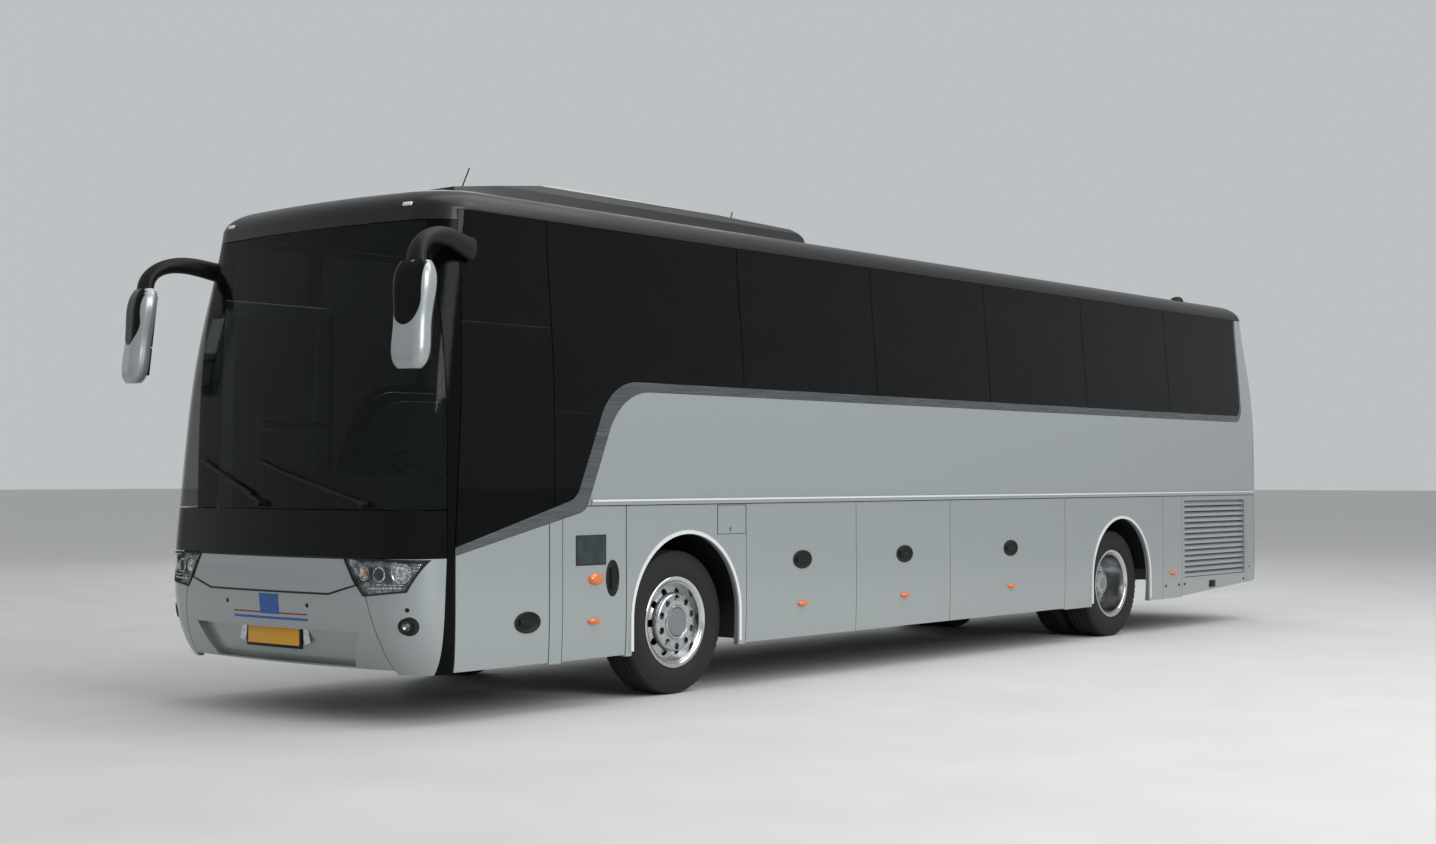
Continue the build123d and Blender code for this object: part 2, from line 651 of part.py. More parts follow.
FRONT_LEVELS = (960, 1900)
MIDDLE_LEVELS = (1200, 1900)
front_leaf, front_pane = door_leaf(FRONT_DOOR, 1100)
for lug in lugs(FRONT_DOOR, FRONT_LEVELS):
    front_leaf = front_leaf + lug
front_leaf = front_leaf + box((FRONT_DOOR[0] + 70 + ARM_REACH - 30, FRONT_DOOR[0] + 70 + ARM_REACH + 30), (-1228, -1200), (900, 1960))
middle_leaf, no_pane = door_leaf(MIDDLE_DOOR, None)
for lug in lugs(MIDDLE_DOOR, MIDDLE_LEVELS):
    middle_leaf = middle_leaf + lug
save("door_front", front_leaf)
save("door_front_glass", front_pane)
save("door_front_arm", door_arm(FRONT_DOOR, FRONT_LEVELS))
save("door_middle", middle_leaf)
save("door_middle_arm", door_arm(MIDDLE_DOOR, MIDDLE_LEVELS))

# Mirrors: an arm of oval section sweeps forward from the pillar's head and down into a leaning housing.
# centre, direction of the arm, upper side, half height, half width
ARM_ROWS = [
    ((2030, 1232, 2945), (1, 0.25, 0.1), (-0.1, 0, 1), 76, 40),
    ((2240, 1296, 2982), (1, 0.2, 0.1), (-0.1, 0, 1), 62, 42),
    ((2440, 1342, 2985), (1, 0.15, -0.25), (0.25, 0, 1), 52, 48),
    ((2580, 1372, 2915), (0.6, 0.1, -0.8), (0.8, 0, 0.6), 48, 60),
    ((2620, 1384, 2790), (0.08, 0.02, -1), (1, 0, 0.08), 48, 78),
]
arm_wires = []
for (x, y, z), along, upward, tall, wide in ARM_ROWS:
    section = Plane(origin=(fx(x), y, z), x_dir=upward, z_dir=along)
    arm_wires.append(Wire(section * Edge.make_ellipse(tall, wide)))
mirror_arm = Solid.make_loft(arm_wires, False)
save("mirror_arms", *both(mirror_arm - outer))

# height, centre ahead of the front axle, centre y, depth, width, corner radius
HEAD_ROWS = [
    (2165, 2692, 1408, 76, 150, 36),
    (2200, 2688, 1407, 120, 206, 54),
    (2330, 2674, 1402, 152, 240, 66),
    (2600, 2644, 1392, 168, 258, 72),
    (2760, 2626, 1386, 152, 244, 66),
    (2812, 2620, 1384, 100, 190, 46),
]
HEAD_TURN = 14
GLASS_LEAN = -6
head_wires = []
for z, x, y, deep, wide, corner_radius in HEAD_ROWS:
    outline = RectangleRounded(deep, wide, corner_radius).wire()
    head_wires.append(Pos(fx(x), y, z) * Rot(0, 0, HEAD_TURN) * outline)
head = Solid.make_loft(head_wires, False)
behind = Pos(fx(2656), 1396, 2488) * Rot(0, GLASS_LEAN, HEAD_TURN) * Pos(-152, 0, 0) * Box(200, 400, 900)
save("mirror_heads", *both(head - behind - mirror_arm))


def on_screen(y, z, proud):
    """A point that stands proud of the windscreen at (y, z)."""
    levels = [row[0] for row in BODY_ROWS]
    after = next(index for index, level in enumerate(levels) if level > z)
    low, high = BODY_ROWS[after - 1], BODY_ROWS[after]
    nose = low[1] + (high[1] - low[1]) * (z - low[0]) / (high[0] - low[0])
    return (nose - y * y / (2 * NOSE_R) + proud, y, z)


# Wipers: the spindle's (y, z), then the two ends of the blade
WIPERS = [((880, 1362), (620, 1420), (-150, 1640)), ((-60, 1362), (-160, 1420), (-800, 1640))]
wipers = []
for spindle, heel, tip in WIPERS:
    middle = ((heel[0] + tip[0]) / 2, (heel[1] + tip[1]) / 2)
    joint = on_screen(*middle, 28)
    wiper = rod(on_screen(*heel, 28), joint, 8) + rod(joint, on_screen(*tip, 28), 8)
    wiper = wiper + Pos(fx(joint[0]), joint[1], joint[2]) * Sphere(15) + rod(on_screen(*spindle, 34), joint, 10)
    wipers.append(wiper + rod(on_screen(*spindle, 12), on_screen(*spindle, 56), 22))
save("wipers", *wipers)

# Cab and saloon fittings
DASH = [(2020, 1340), (2060, 1500), (2180, 1560), (2330, 1540), (2480, 1330), (2440, 1060), (2200, 934), (2120, 1000)]
HAND_WHEEL = (1880, 620, 1560)
HAND_WHEEL_TILT = -35
column = rod((1902, 620, 1529), (2060, 620, 1303), 26)
save("dashboard", side_prism(DASH, (-400, 1080)) + column)
wheel = Solid.make_torus(225, 17, Plane.XY)
for angle in (90, 210, 330):
    wheel = wheel + Rot(0, 0, angle) * Pos(110, 0, 0) * Box(225, 30, 14)
wheel = wheel + Cylinder(52, 34)
wheel_place = Pos(fx(HAND_WHEEL[0]), HAND_WHEEL[1], HAND_WHEEL[2]) * Rot(0, HAND_WHEEL_TILT, 0)
save("steering_wheel", wheel_place * wheel)

# Seat seen from the side: (ahead of the cushion's middle, height above the floor)
SEAT = [(240, 335), (240, 445), (-170, 425), (-320, 1040), (-345, 1150), (-420, 1150), (-450, 1100), (-310, 335)]
PEDESTAL = [(60, 0), (60, 340), (-140, 340), (-140, 0)]
SEAT_PITCH = 780
LAST_SEAT = -8900
ROWS = 12


def seat(x, z, y):
    """A seat's padding and its pedestal."""
    pad = side_prism([(x + px, z + pz) for px, pz in SEAT], y)
    narrow = (y[0] + 120, y[1] - 120)
    return pad + side_prism([(x + px, z + pz) for px, pz in PEDESTAL], narrow)


seats = []
for row in range(ROWS):
    x = LAST_SEAT + SEAT_PITCH * row
    seats.append(seat(x, SALOON_Z, (270, 1150)))
    if not MIDDLE_DOOR[0] - 450 < x < MIDDLE_DOOR[1] + 450:
        seats.append(seat(x, SALOON_Z, (-1150, -270)))
save("seats", *seats)
save("driver_seat", seat(1350, PLATFORM_Z, (360, 880)))
RACK = [(1090, 2900), (1130, 3100), (760, 3120), (700, 3060), (760, 2990)]
rack = front_prism(RACK, (-9000, 600))
save("parcel_racks", *both(rack))
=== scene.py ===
# %% [markdown]
# A touring coach, seen from its front left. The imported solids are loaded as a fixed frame, and this lesson
# gives them their finishes and adds what a solid doesn't carry: tyre tread, wheel nuts, lamp bowls, trims and
# handles. Lengths are metres: +X is forward, +Y is the coach's left and Z is up from the ground.

# %% Load the frame
import bpy
import json
import math
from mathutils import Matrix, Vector

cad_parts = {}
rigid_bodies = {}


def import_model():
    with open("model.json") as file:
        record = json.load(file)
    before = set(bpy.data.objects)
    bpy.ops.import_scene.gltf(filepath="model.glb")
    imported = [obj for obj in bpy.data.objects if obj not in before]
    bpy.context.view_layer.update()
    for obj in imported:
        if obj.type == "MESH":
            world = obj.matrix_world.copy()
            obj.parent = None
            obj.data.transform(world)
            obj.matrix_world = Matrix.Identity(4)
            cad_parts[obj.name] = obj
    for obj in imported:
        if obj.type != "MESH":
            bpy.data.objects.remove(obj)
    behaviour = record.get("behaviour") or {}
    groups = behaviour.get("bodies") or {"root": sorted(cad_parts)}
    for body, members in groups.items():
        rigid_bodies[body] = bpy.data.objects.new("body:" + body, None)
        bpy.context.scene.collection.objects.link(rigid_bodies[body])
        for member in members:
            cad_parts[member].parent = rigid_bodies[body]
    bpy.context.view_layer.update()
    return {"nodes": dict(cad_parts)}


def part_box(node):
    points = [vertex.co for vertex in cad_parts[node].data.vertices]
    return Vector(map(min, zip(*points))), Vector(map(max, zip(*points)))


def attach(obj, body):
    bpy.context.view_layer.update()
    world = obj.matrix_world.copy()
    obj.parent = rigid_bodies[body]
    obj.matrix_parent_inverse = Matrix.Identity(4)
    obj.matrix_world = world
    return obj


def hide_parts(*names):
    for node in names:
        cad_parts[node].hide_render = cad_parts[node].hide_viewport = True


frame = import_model()

# %% [markdown]
# Every place below is worked out from a few sizes of the coach itself: where the axles are and how large the
# tyres are, read from the frame, and how far out the upright side of the body stands. A line that looks for
# the skin starts well outside the coach: ahead of it, behind it, beside it or above it.

# %% Driving sizes
tyre_low, tyre_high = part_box("front_tyre_left")
twin_low, twin_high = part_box("rear_tyres_left")
FRONT_X = (tyre_low.x + tyre_high.x) / 2
REAR_X = (twin_low.x + twin_high.x) / 2
HUB_Z = (tyre_low.z + tyre_high.z) / 2
TYRE_R = (tyre_high.z - tyre_low.z) / 2
TYRE_W = tyre_high.y - tyre_low.y
TRACK_Y = (tyre_low.y + tyre_high.y) / 2
TWIN_STEP = twin_high.y - twin_low.y - TYRE_W
SIDE_Y = 1.275
AHEAD, BEHIND, BESIDE, ABOVE = FRONT_X + 4, REAR_X - 5, 3, 5
SIDES = (("left", 1), ("right", -1))
print("front axle", round(FRONT_X, 3), "rear axle", round(REAR_X, 3), "tyre", round(TYRE_R, 3))

# %% [markdown]
# A finish is a Principled shader with one noise pattern on Object coordinates. The pattern's size is the real
# size of what it shows, in millimetres, and it varies the colour, the roughness and a shallow bump. One
# function makes them all, because flakes, brushing, rubber dust and casting grain differ only in those
# numbers.

# %% Finishes: helpers
# nearly all of a noise lies between these two values, so the colours run from one to the other
NOISE_ENDS = (0.3, 0.7)
BUMP_STRENGTH = 0.5


def linear(code):
    """An sRGB hex colour as linear RGBA."""
    values = [int(code[i:i + 2], 16) / 255 for i in (1, 3, 5)]
    return [v / 12.92 if v <= 0.04045 else ((v + 0.055) / 1.055) ** 2.4 for v in values] + [1]


def node(tree, kind, values=None, links=None, **settings):
    """Adds one shader node with its settings, socket values and links."""
    made = tree.nodes.new(kind)
    for key, value in settings.items():
        setattr(made, key, value)
    for socket, value in (values or {}).items():
        made.inputs[socket].default_value = value
    for socket, source in (links or {}).items():
        tree.links.new(source, made.inputs[socket])
    return made


def finish(name, dark, light, grain_mm, rough, metal=0, stretch=(1, 1, 1), bump_mm=0, detail=3, **sockets):
    """A finish whose noise runs from dark to light, with roughness over the (low, high) pair rough."""
    mat = bpy.data.materials.new(name)
    mat.use_nodes = True
    tree = mat.node_tree
    shader = tree.nodes["Principled BSDF"]
    shader.inputs["Metallic"].default_value = metal
    for socket, value in sockets.items():
        shader.inputs[socket.replace("_", " ")].default_value = value
    place = node(tree, "ShaderNodeTexCoord")
    scaled = node(tree, "ShaderNodeMapping", {"Scale": stretch}, {"Vector": place.outputs["Object"]})
    grain = node(tree, "ShaderNodeTexNoise", {"Scale": 1000 / grain_mm, "Detail": detail},
                 {"Vector": scaled.outputs["Vector"]})
    colour = node(tree, "ShaderNodeValToRGB", links={"Fac": grain.outputs["Fac"]})
    for stop, position, code in zip(colour.color_ramp.elements, NOISE_ENDS, (dark, light)):
        stop.position = position
        stop.color = linear(code)
    spread = node(tree, "ShaderNodeMapRange", {"To Min": rough[0], "To Max": rough[1]},
                  {"Value": grain.outputs["Fac"]})
    tree.links.new(colour.outputs["Color"], shader.inputs["Base Color"])
    tree.links.new(spread.outputs["Result"], shader.inputs["Roughness"])
    if bump_mm:
        relief = node(tree, "ShaderNodeBump", {"Strength": BUMP_STRENGTH, "Distance": bump_mm / 1000},
                      {"Height": grain.outputs["Fac"]})
        tree.links.new(relief.outputs["Normal"], shader.inputs["Normal"])
    mat.diffuse_color = linear(light)
    return mat


print("mid grey, #808080, is", round(linear("#808080")[0], 3), "in linear light")

# %% [markdown]
# The body is sprayed metal with a clear lacquer: aluminium flakes a fraction of a millimetre wide give it a
# soft sparkle, drawn here as 4 mm so that they show. The roof's lacquer is charcoal, with a weaker gloss. The
# band is brushed along the coach, so its noise is stretched a hundred times along X. The line over each
# finish says what it gives the eye.

# %% Finishes of the shell
# a broad soft highlight, with a faint sparkle
silver = finish("silver flake lacquer, sprayed", "#969D9E", "#A4AAAB", 4, (0.30, 0.36), 0.45,
                Coat_Weight=0.8, Coat_Roughness=0.05)
# nearly black, with a weak grey sheen
charcoal = finish("charcoal flake lacquer, sprayed", "#0E1012", "#17191B", 4, (0.34, 0.42), 0.05,
                  Coat_Weight=0.15, Coat_Roughness=0.10, Specular_IOR_Level=0.3)
# fine grey streaks that run along the coach
brushed = finish("stainless steel, brushed", "#5E6163", "#8B8E90", 3, (0.16, 0.34), 1, (0.01, 1, 1), 0.05)
# sharp bright highlights
bright = finish("aluminium trim, polished", "#C2C4C5", "#D6D7D8", 20, (0.10, 0.18), 1)
# a pale line that hardly darkens in shade: the arch lips' own pale metal, and along the belt moulding a
# painted highlight
anodised_and_highlight = finish("aluminium lip, bright anodised", "#DCDFE0", "#EDEFEF", 12, (0.18, 0.26), 0.35)
# a flat blue grey, lighter than the windows
sensor_grey = finish("glass panel, grey tint", "#2C3436", "#3A4447", 120, (0.05, 0.10),
                     Specular_IOR_Level=0.3)
# deep black, with small sharp highlights
gloss_black = finish("ABS panel, gloss black lacquer", "#060707", "#0A0B0B", 30, (0.05, 0.10),
                     Specular_IOR_Level=0.15)
# a dull black border that mirrors no lamp
frit = finish("glass border, black ceramic frit", "#050606", "#090A0A", 30, (0.14, 0.22),
              Specular_IOR_Level=0.07)
# dark grey, with wide dull highlights
satin_black = finish("polypropylene, moulded satin black", "#0D0E0E", "#161717", 2, (0.40, 0.56), bump_mm=0.1,
                     Specular_IOR_Level=0.25)
# a soft black line
seam_rubber = finish("EPDM seal, extruded", "#0C0C0C", "#171717", 3, (0.6, 0.75), bump_mm=0.1)
# black from outside, with a hint of what stands behind it
tinted = finish("privacy glass, float", "#050708", "#080B0C", 400, (0.02, 0.04), Alpha=0.88,
                Specular_IOR_Level=0.15)
# green grey, and the dashboard shows through it
screen = finish("windscreen glass, laminated", "#0E1513", "#141C19", 600, (0.01, 0.03), Alpha=0.42,
                Specular_IOR_Level=0.2)
# nearly clear, and seen by its highlights
lens = finish("lamp lens, clear polycarbonate", "#8F9597", "#9CA2A4", 60, (0.02, 0.05), Alpha=0.08,
              Specular_IOR_Level=0.5)
# a smoked grey, with dark and bright patches painted into it as the reflections of folds of thin metal
smoked = finish("lamp housing, smoked metallised", "#3A3D40", "#A6AAAD", 38, (0.08, 0.2), 1, detail=1)
# bright flashes between dark facets, painted into the colour as patches from dark grey to near white: painted
# glints
reflector = finish("lamp reflector, vacuum metallised", "#6E7274", "#F4F5F6", 17, (0.04, 0.12), 1, detail=1)
# deep red under a wet gloss
red_lens = finish("tail lens, red acrylic", "#6E0709", "#8E0C0F", 8, (0.08, 0.16), Coat_Weight=1.0)
# orange under a wet gloss
amber_lens = finish("side marker, amber acrylic", "#C75B08", "#E0760F", 6, (0.10, 0.18), Coat_Weight=1.0)
# milky white under a wet gloss
white_lens = finish("marker lens, white acrylic", "#D5D8D8", "#ECEEEE", 6, (0.10, 0.18), Coat_Weight=1.0)
# an even warm yellow without gloss
plate_yellow = finish("number plate blank, retroreflective film", "#D99A1C", "#E6A92A", 2, (0.35, 0.5))
# thin coloured lines with a soft gloss
red_paint = finish("signal red line, sprayed", "#7E1A22", "#8A1E27", 30, (0.3, 0.35))
blue_paint = finish("blue line, sprayed", "#1B4F96", "#205AA6", 30, (0.3, 0.35))
print("finishes so far:", len(bpy.data.materials))

# %% [markdown]
# Below and inside: natural rubber dulls and picks up road dust, the wheels are forged aluminium that has been
# polished on a lathe, castings are painted black, and seats are woven plush over foam.

# %% Finishes of wheels, underside and interior
# dusty black without a highlight
rubber = finish("tyre tread rubber, vulcanised", "#0E0E0F", "#1A1A1B", 6, (0.72, 0.88), bump_mm=0.3)
# pale metal, with soft and cloudy highlights
alloy = finish("wheel disc, forged and polished aluminium", "#A9ABAD", "#CACBCC", 12, (0.16, 0.3), 1,
               bump_mm=0.03)
# a flat mid grey
hub_grey = finish("hub cover, painted grey", "#73777A", "#82868A", 5, (0.3, 0.42), 0.3)
# small bright points
nut_steel = finish("wheel nut, zinc plated steel", "#7C7E80", "#B0B2B4", 5, (0.25, 0.4), 1)
# rough black, with broken highlights
casting = finish("iron casting, black paint", "#121212", "#232322", 10, (0.5, 0.7), 0.1, bump_mm=0.6)
# uneven black, a little waxy
frame_black = finish("steel frame, black wax", "#0E0E0F", "#1B1B1B", 25, (0.4, 0.6), 0.1, bump_mm=0.2)
# speckled grey
vinyl = finish("floor vinyl, rolled", "#2B2C2F", "#45464A", 5, (0.5, 0.65), bump_mm=0.1)
# dark blue that pales toward its edges
plush = finish("seat plush, woven", "#1B2233", "#39445E", 7, (0.8, 0.95), bump_mm=0.8, Sheen_Weight=0.4)
# an even mirror
mirror_glass = finish("mirror, silvered glass", "#B9BDBF", "#C4C8CA", 200, (0.01, 0.02), 1)
print("finishes in all:", len(bpy.data.materials))

# %% [markdown]
# A table says which finish each solid wears.

# %% Dressing the frame
FINISHES = {
    silver: "bumper bumper_corners front_flap side_panels side_skirts rear_wall rear_bumper engine_lid"
            " mirror_heads flap_left_front flap_left_rear grille_left grille_right locker_left_front"
            " locker_left_middle locker_left_rear locker_right_front locker_right_rear door_front"
            " door_middle",
    charcoal: "roof roof_unit",
    brushed: "side_bands",
    gloss_black: "front_panel",
    frit: "windscreen_surround",
    satin_black: "window_frames wheelhouses door_front_arm door_middle_arm mirror_arms wipers aerials"
                 " dashboard steering_wheel parcel_racks",
    tinted: "body_glass door_front_glass",
    screen: "windscreen",
    lens: "headlamps fog_lamps",
    red_lens: "rear_lamps",
    rubber: "front_tyre_left front_tyre_right rear_tyres_left rear_tyres_right",
    alloy: "front_rim_left front_rim_right rear_rims_left rear_rims_right",
    casting: "engine front_axle rear_axle knuckle_left knuckle_right",
    frame_black: "chassis_frame",
    vinyl: "saloon_floor luggage_hold",
    plush: "seats driver_seat",
}
for mat, names in FINISHES.items():
    for name in names.split():
        slots = frame["nodes"][name].data.materials
        slots.clear()
        slots.append(mat)
dressed = " ".join(FINISHES.values()).split()
print("nodes without a finish:", sorted(set(frame["nodes"]) - set(dressed)))

# %% [markdown]
# A few helpers serve all the pieces. `done` freezes an object's place into its mesh and says what it rides
# on. `turned` draws half a section and spins it about an axis, as a lathe would. `block` is a cube with its
# edges rounded. `surface` finds where a straight line meets a solid, so that trims sit on the real skin.

# %% Helpers for pieces
SMOOTH_BELOW = math.radians(35)


def mode(kind):
    """Switches between EDIT and OBJECT mode."""
    bpy.ops.object.mode_set(mode=kind)


def edit(action="SELECT", kind=None):
    """Enters edit mode with all or nothing selected, in a kind of selection if one is given."""
    mode("EDIT")
    if kind:
        bpy.ops.mesh.select_mode(type=kind)
    bpy.ops.mesh.select_all(action=action)


def clear():
    """Goes back to object mode with nothing selected."""
    if bpy.context.object and bpy.context.object.mode != "OBJECT":
        mode("OBJECT")
    bpy.ops.object.select_all(action="DESELECT")


def choose(obj):
    """Makes one object the selected and active one."""
    clear()
    obj.select_set(True)
    bpy.context.view_layer.objects.active = obj


def placed(name, mesh):
    """A new object that holds a mesh, chosen."""
    obj = bpy.data.objects.new(name, mesh)
    bpy.context.collection.objects.link(obj)
    choose(obj)
    return obj


def copied(obj):
    """A chosen copy of an object, with its own mesh."""
    copy = obj.copy()
    copy.data = obj.data.copy()
    bpy.context.collection.objects.link(copy)
    choose(copy)
    return copy


def done(obj, name, mat, body="coach", smooth=True):
    """Freezes an object's place into its mesh, and gives it a name, a finish and a body."""
    choose(obj)
    bpy.ops.object.transform_apply(location=True, rotation=True, scale=True)
    if smooth:
        bpy.ops.object.shade_smooth_by_angle(angle=SMOOTH_BELOW)
    obj.name = name
    obj.data.materials.clear()
    obj.data.materials.append(mat)
    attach(obj, body)
    return obj


def turned(section, place, axis="Y", steps=48, face=1):
    """Spins (radius, along) points about an axis through place; face -1 points it the other way."""
    mesh = bpy.data.meshes.new("section")
    if axis == "Y":
        points = [(r, along * face, 0) for r, along in section]
        turn_axis = (0, 1, 0)
    else:
        points = [(along * face, 0, r) for r, along in section]
        turn_axis = (1, 0, 0)
    mesh.from_pydata(points, [(i, i + 1) for i in range(len(points) - 1)], [])
    obj = placed("turned", mesh)
    edit()
    bpy.ops.mesh.spin(steps=steps, angle=math.tau, center=(0, 0, 0), axis=turn_axis)
    bpy.ops.mesh.select_all(action="SELECT")
    bpy.ops.mesh.remove_doubles(threshold=0.00005)
    bpy.ops.mesh.normals_make_consistent(inside=False)
    mode("OBJECT")
    obj.location = place
    return obj


def modified(obj, kind, **settings):
    """Gives an object a modifier with its settings, and applies it."""
    added = obj.modifiers.new(kind, kind)
    for key, value in settings.items():
        setattr(added, key, value)
    choose(obj)
    bpy.ops.object.modifier_apply(modifier=added.name)
    return obj


def block(place, size, bevel=0.003, turn=(0, 0, 0), segments=2):
    """A box with rounded edges."""
    clear()
    bpy.ops.mesh.primitive_cube_add(size=1, location=place, rotation=turn)
    obj = bpy.context.object
    obj.scale = size
    bpy.ops.object.transform_apply(location=False, rotation=False, scale=True)
    return modified(obj, "BEVEL", width=bevel, segments=segments)


def joined(objects):
    """Joins objects into the first of them."""
    clear()
    for obj in objects:
        obj.select_set(True)
    bpy.context.view_layer.objects.active = objects[0]
    bpy.ops.object.join()
    return objects[0]


def surface(name, start, direction):
    """The first point of a CAD node along a line, with its outward normal."""
    hit, point, normal, _ = frame["nodes"][name].ray_cast(Vector(start), Vector(direction).normalized())
    if not hit:
        raise ValueError(f"{name} isn't met from {start}")
    return point, normal


def front_of(name, y, z):
    """Where a node is met from ahead of the coach."""
    return surface(name, (AHEAD, y, z), (-1, 0, 0))


def rear_of(name, y, z):
    """Where a node is met from behind the coach."""
    return surface(name, (BEHIND, y, z), (1, 0, 0))


def facing(normal):
    """Euler angles that turn an object's +X to the normal."""
    return Vector(normal).to_track_quat("X", "Z").to_euler()


def set_on(section, point, normal, steps=48):
    """A lathe piece that stands on the skin along its normal."""
    piece = turned(section, point, "X", steps)
    piece.rotation_euler = facing(normal)
    return piece


print("front skin at the bumper's middle:", front_of("bumper", 0, 0.515)[0])

# %% [markdown]
# A tyre is a body of revolution. Its section has round shoulders, a bulging wall and four grooves 12 mm deep,
# and the spin makes the whole ring. Sixty short blocks round each shoulder are the lugs, all one mesh with
# the ring.

# %% Tyres
HALF = TYRE_W / 2
# radius, across, from the rim up to the edge of the tread
WALL = [(0.292, -0.102), (0.300, -0.112), (0.335, -0.132), (0.375, -0.1425), (0.400, -HALF + 0.0005),
        (0.430, -0.142), (0.462, -0.134), (0.482, -0.127), (0.496, -0.120), (TYRE_R - 0.002, -0.108)]
TREAD_R = TYRE_R - 0.0003
GROOVE_R = TYRE_R - 0.012
# half a groove's width at its top and at its foot
HALF_TOP, HALF_FOOT = 0.0055, 0.004
TREAD = list(WALL)
for groove in (-0.072, -0.024, 0.024, 0.072):
    TREAD += [(TREAD_R, groove - HALF_TOP), (GROOVE_R, groove - HALF_FOOT),
              (GROOVE_R, groove + HALF_FOOT), (TREAD_R, groove + HALF_TOP)]
TREAD += [(r, -across) for r, across in reversed(WALL)]
LUGS = 60
LUG_SIZE = (0.018, 0.014, 0.026)
LUG_R, LUG_ACROSS = TYRE_R - 0.017, 0.1185


def tyre(x, y):
    """A tyre with its lugs, for a wheel whose middle is at x and y."""
    ring = turned(TREAD, (x, y, HUB_Z), steps=96)
    lugs = []
    for side in (-1, 1):
        lug = block((x + LUG_R, y + side * LUG_ACROSS, HUB_Z), LUG_SIZE, 0.002, segments=1)
        choose(lug)
        bpy.ops.object.transform_apply(location=True, rotation=True, scale=True)
        for count in range(1, LUGS):
            copy = copied(lug)
            edit()
            bpy.ops.transform.rotate(value=math.tau * count / LUGS, orient_axis="Y",
                                     center_override=(x, y, HUB_Z))
            mode("OBJECT")
            lugs.append(copy)
        lugs.append(lug)
    return joined([ring] + lugs)


for side, sign in SIDES:
    front = tyre(FRONT_X, TRACK_Y * sign)
    done(front, f"tyre_front_{side}", rubber, f"wheel_front_{side}")
    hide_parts(f"front_tyre_{side}")
    pair = [tyre(REAR_X, (TRACK_Y - step) * sign) for step in (0, TWIN_STEP)]
    rear = done(joined(pair), f"tyres_rear_{side}", rubber, f"wheels_rear_{side}")
    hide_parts(f"rear_tyres_{side}")

# %% [markdown]
# Ten nuts hold each wheel on a circle 335 mm across. A nut is a six-sided cylinder on a washer, with rounded
# edges. At the front a thin cover with a hole over each nut hides the disc, and a grey cap closes the hub. At
# the rear the drive shaft ends far down in the dish.

# %% Wheel nuts and hubs
NUTS = 10
NUT_CIRCLE = 0.3350 / 2
NUT_R, NUT_H = 0.0185, 0.024
WASHER_R, WASHER_H, WASHER_OUT = 0.024, 0.005, 0.002
HOLE_R, HOLE_OUT, HOLE_DEEP = 0.0255, 0.14, 0.06
COVER_WALL = 0.002
# how far out a disc's face lies from the tyre's middle
FRONT_FACE = 0.100
REAR_FACE = -0.150
# sections as radius, distance out
CAP = [(0.0, 0.151), (0.084, 0.149), (0.096, 0.144), (0.102, 0.134), (0.103, 0.118)]
CAP_RING = [(0.101, 0.140), (0.106, 0.147), (0.113, 0.146), (0.118, 0.138), (0.119, 0.104)]
COVER = [(0.117, 0.106), (0.118, 0.134), (0.124, 0.139), (0.150, 0.141), (0.190, 0.139), (0.201, 0.132),
         (0.208, 0.118), (0.211, 0.098)]
RIM_TRIM = [(0.284, 0.108), (0.287, 0.119), (0.296, 0.1275), (0.308, 0.1315), (0.317, 0.1325), (0.321, 0.130),
            (0.321, 0.124)]
SHAFT_END = [(0.0, 0.040), (0.045, 0.040), (0.052, 0.034), (0.070, 0.034), (0.074, 0.028), (0.108, 0.024),
             (0.112, 0.018)]
# name, section, axle, finish, steps
HUBS = [("cap_ring", CAP_RING, "front", bright, 72), ("trim_front", RIM_TRIM, "front", bright, 72),
        ("trim_rear", RIM_TRIM, "rear", bright, 72), ("hub_cap", CAP, "front", hub_grey, 48),
        ("shaft_end", SHAFT_END, "rear", hub_grey, 48)]


def peg(place, radius, depth, sides):
    """A cylinder that lies across the coach."""
    clear()
    bpy.ops.mesh.primitive_cylinder_add(vertices=sides, radius=radius, depth=depth, location=place,
                                        rotation=(math.pi / 2, 0, 0))
    return bpy.context.object


def nut_places(x, y):
    """The nuts' places on their circle, all at one distance across."""
    angles = [math.tau * (count + 0.5) / NUTS for count in range(NUTS)]
    return [(x + NUT_CIRCLE * math.cos(angle), y, HUB_Z + NUT_CIRCLE * math.sin(angle)) for angle in angles]


def nuts(x, y, sign, face):
    """The nuts on their washers, standing on a disc's face."""
    made = []
    for at in nut_places(x, y + sign * (face + NUT_H / 2)):
        nut = modified(peg(at, NUT_R, NUT_H, 6), "BEVEL", width=0.003, segments=2)
        made += [nut, peg((at[0], y + sign * (face + WASHER_OUT), at[2]), WASHER_R, WASHER_H, 20)]
    return joined(made)


def nut_cover(x, y, sign):
    """A thin dome over the nuts, with a round hole over each."""
    dome = turned(COVER, (x, y, HUB_Z), face=sign)
    drill = joined([peg(at, HOLE_R, HOLE_DEEP, 28) for at in nut_places(x, y + sign * HOLE_OUT)])
    modified(dome, "SOLIDIFY", thickness=COVER_WALL)
    modified(dome, "BOOLEAN", object=drill)
    bpy.data.objects.remove(drill)
    return dome


for side, sign in SIDES:
    y = TRACK_Y * sign
    front, rear = f"wheel_front_{side}", f"wheels_rear_{side}"
    done(nut_cover(FRONT_X, y, sign), f"nut_cover_{side}", alloy, front)
    for name, section, axle, mat, steps in HUBS:
        x, body = (FRONT_X, front) if axle == "front" else (REAR_X, rear)
        done(turned(section, (x, y, HUB_Z), face=sign, steps=steps), f"{name}_{side}", mat, body)
    done(nuts(FRONT_X, y, sign, FRONT_FACE), f"nuts_front_{side}", nut_steel, front)
    done(nuts(REAR_X, y, sign, REAR_FACE), f"nuts_rear_{side}", nut_steel, rear)

# %% [markdown]
# A bright lip 26 mm wide runs round each wheel arch: up one side, over a half round and down the other. A
# small face is spun through half a turn, and its two end faces are extruded straight down to the skirt's
# foot.

# %% Wheel-arch lips
ARCH_R = 0.575
ARCH_Z = 0.558
LIP_WIDE, LIP_IN = 0.026, 0.006
LIP_BACK, LIP_PROUD = 0.012, 0.006
LIP_FOOT = 0.345


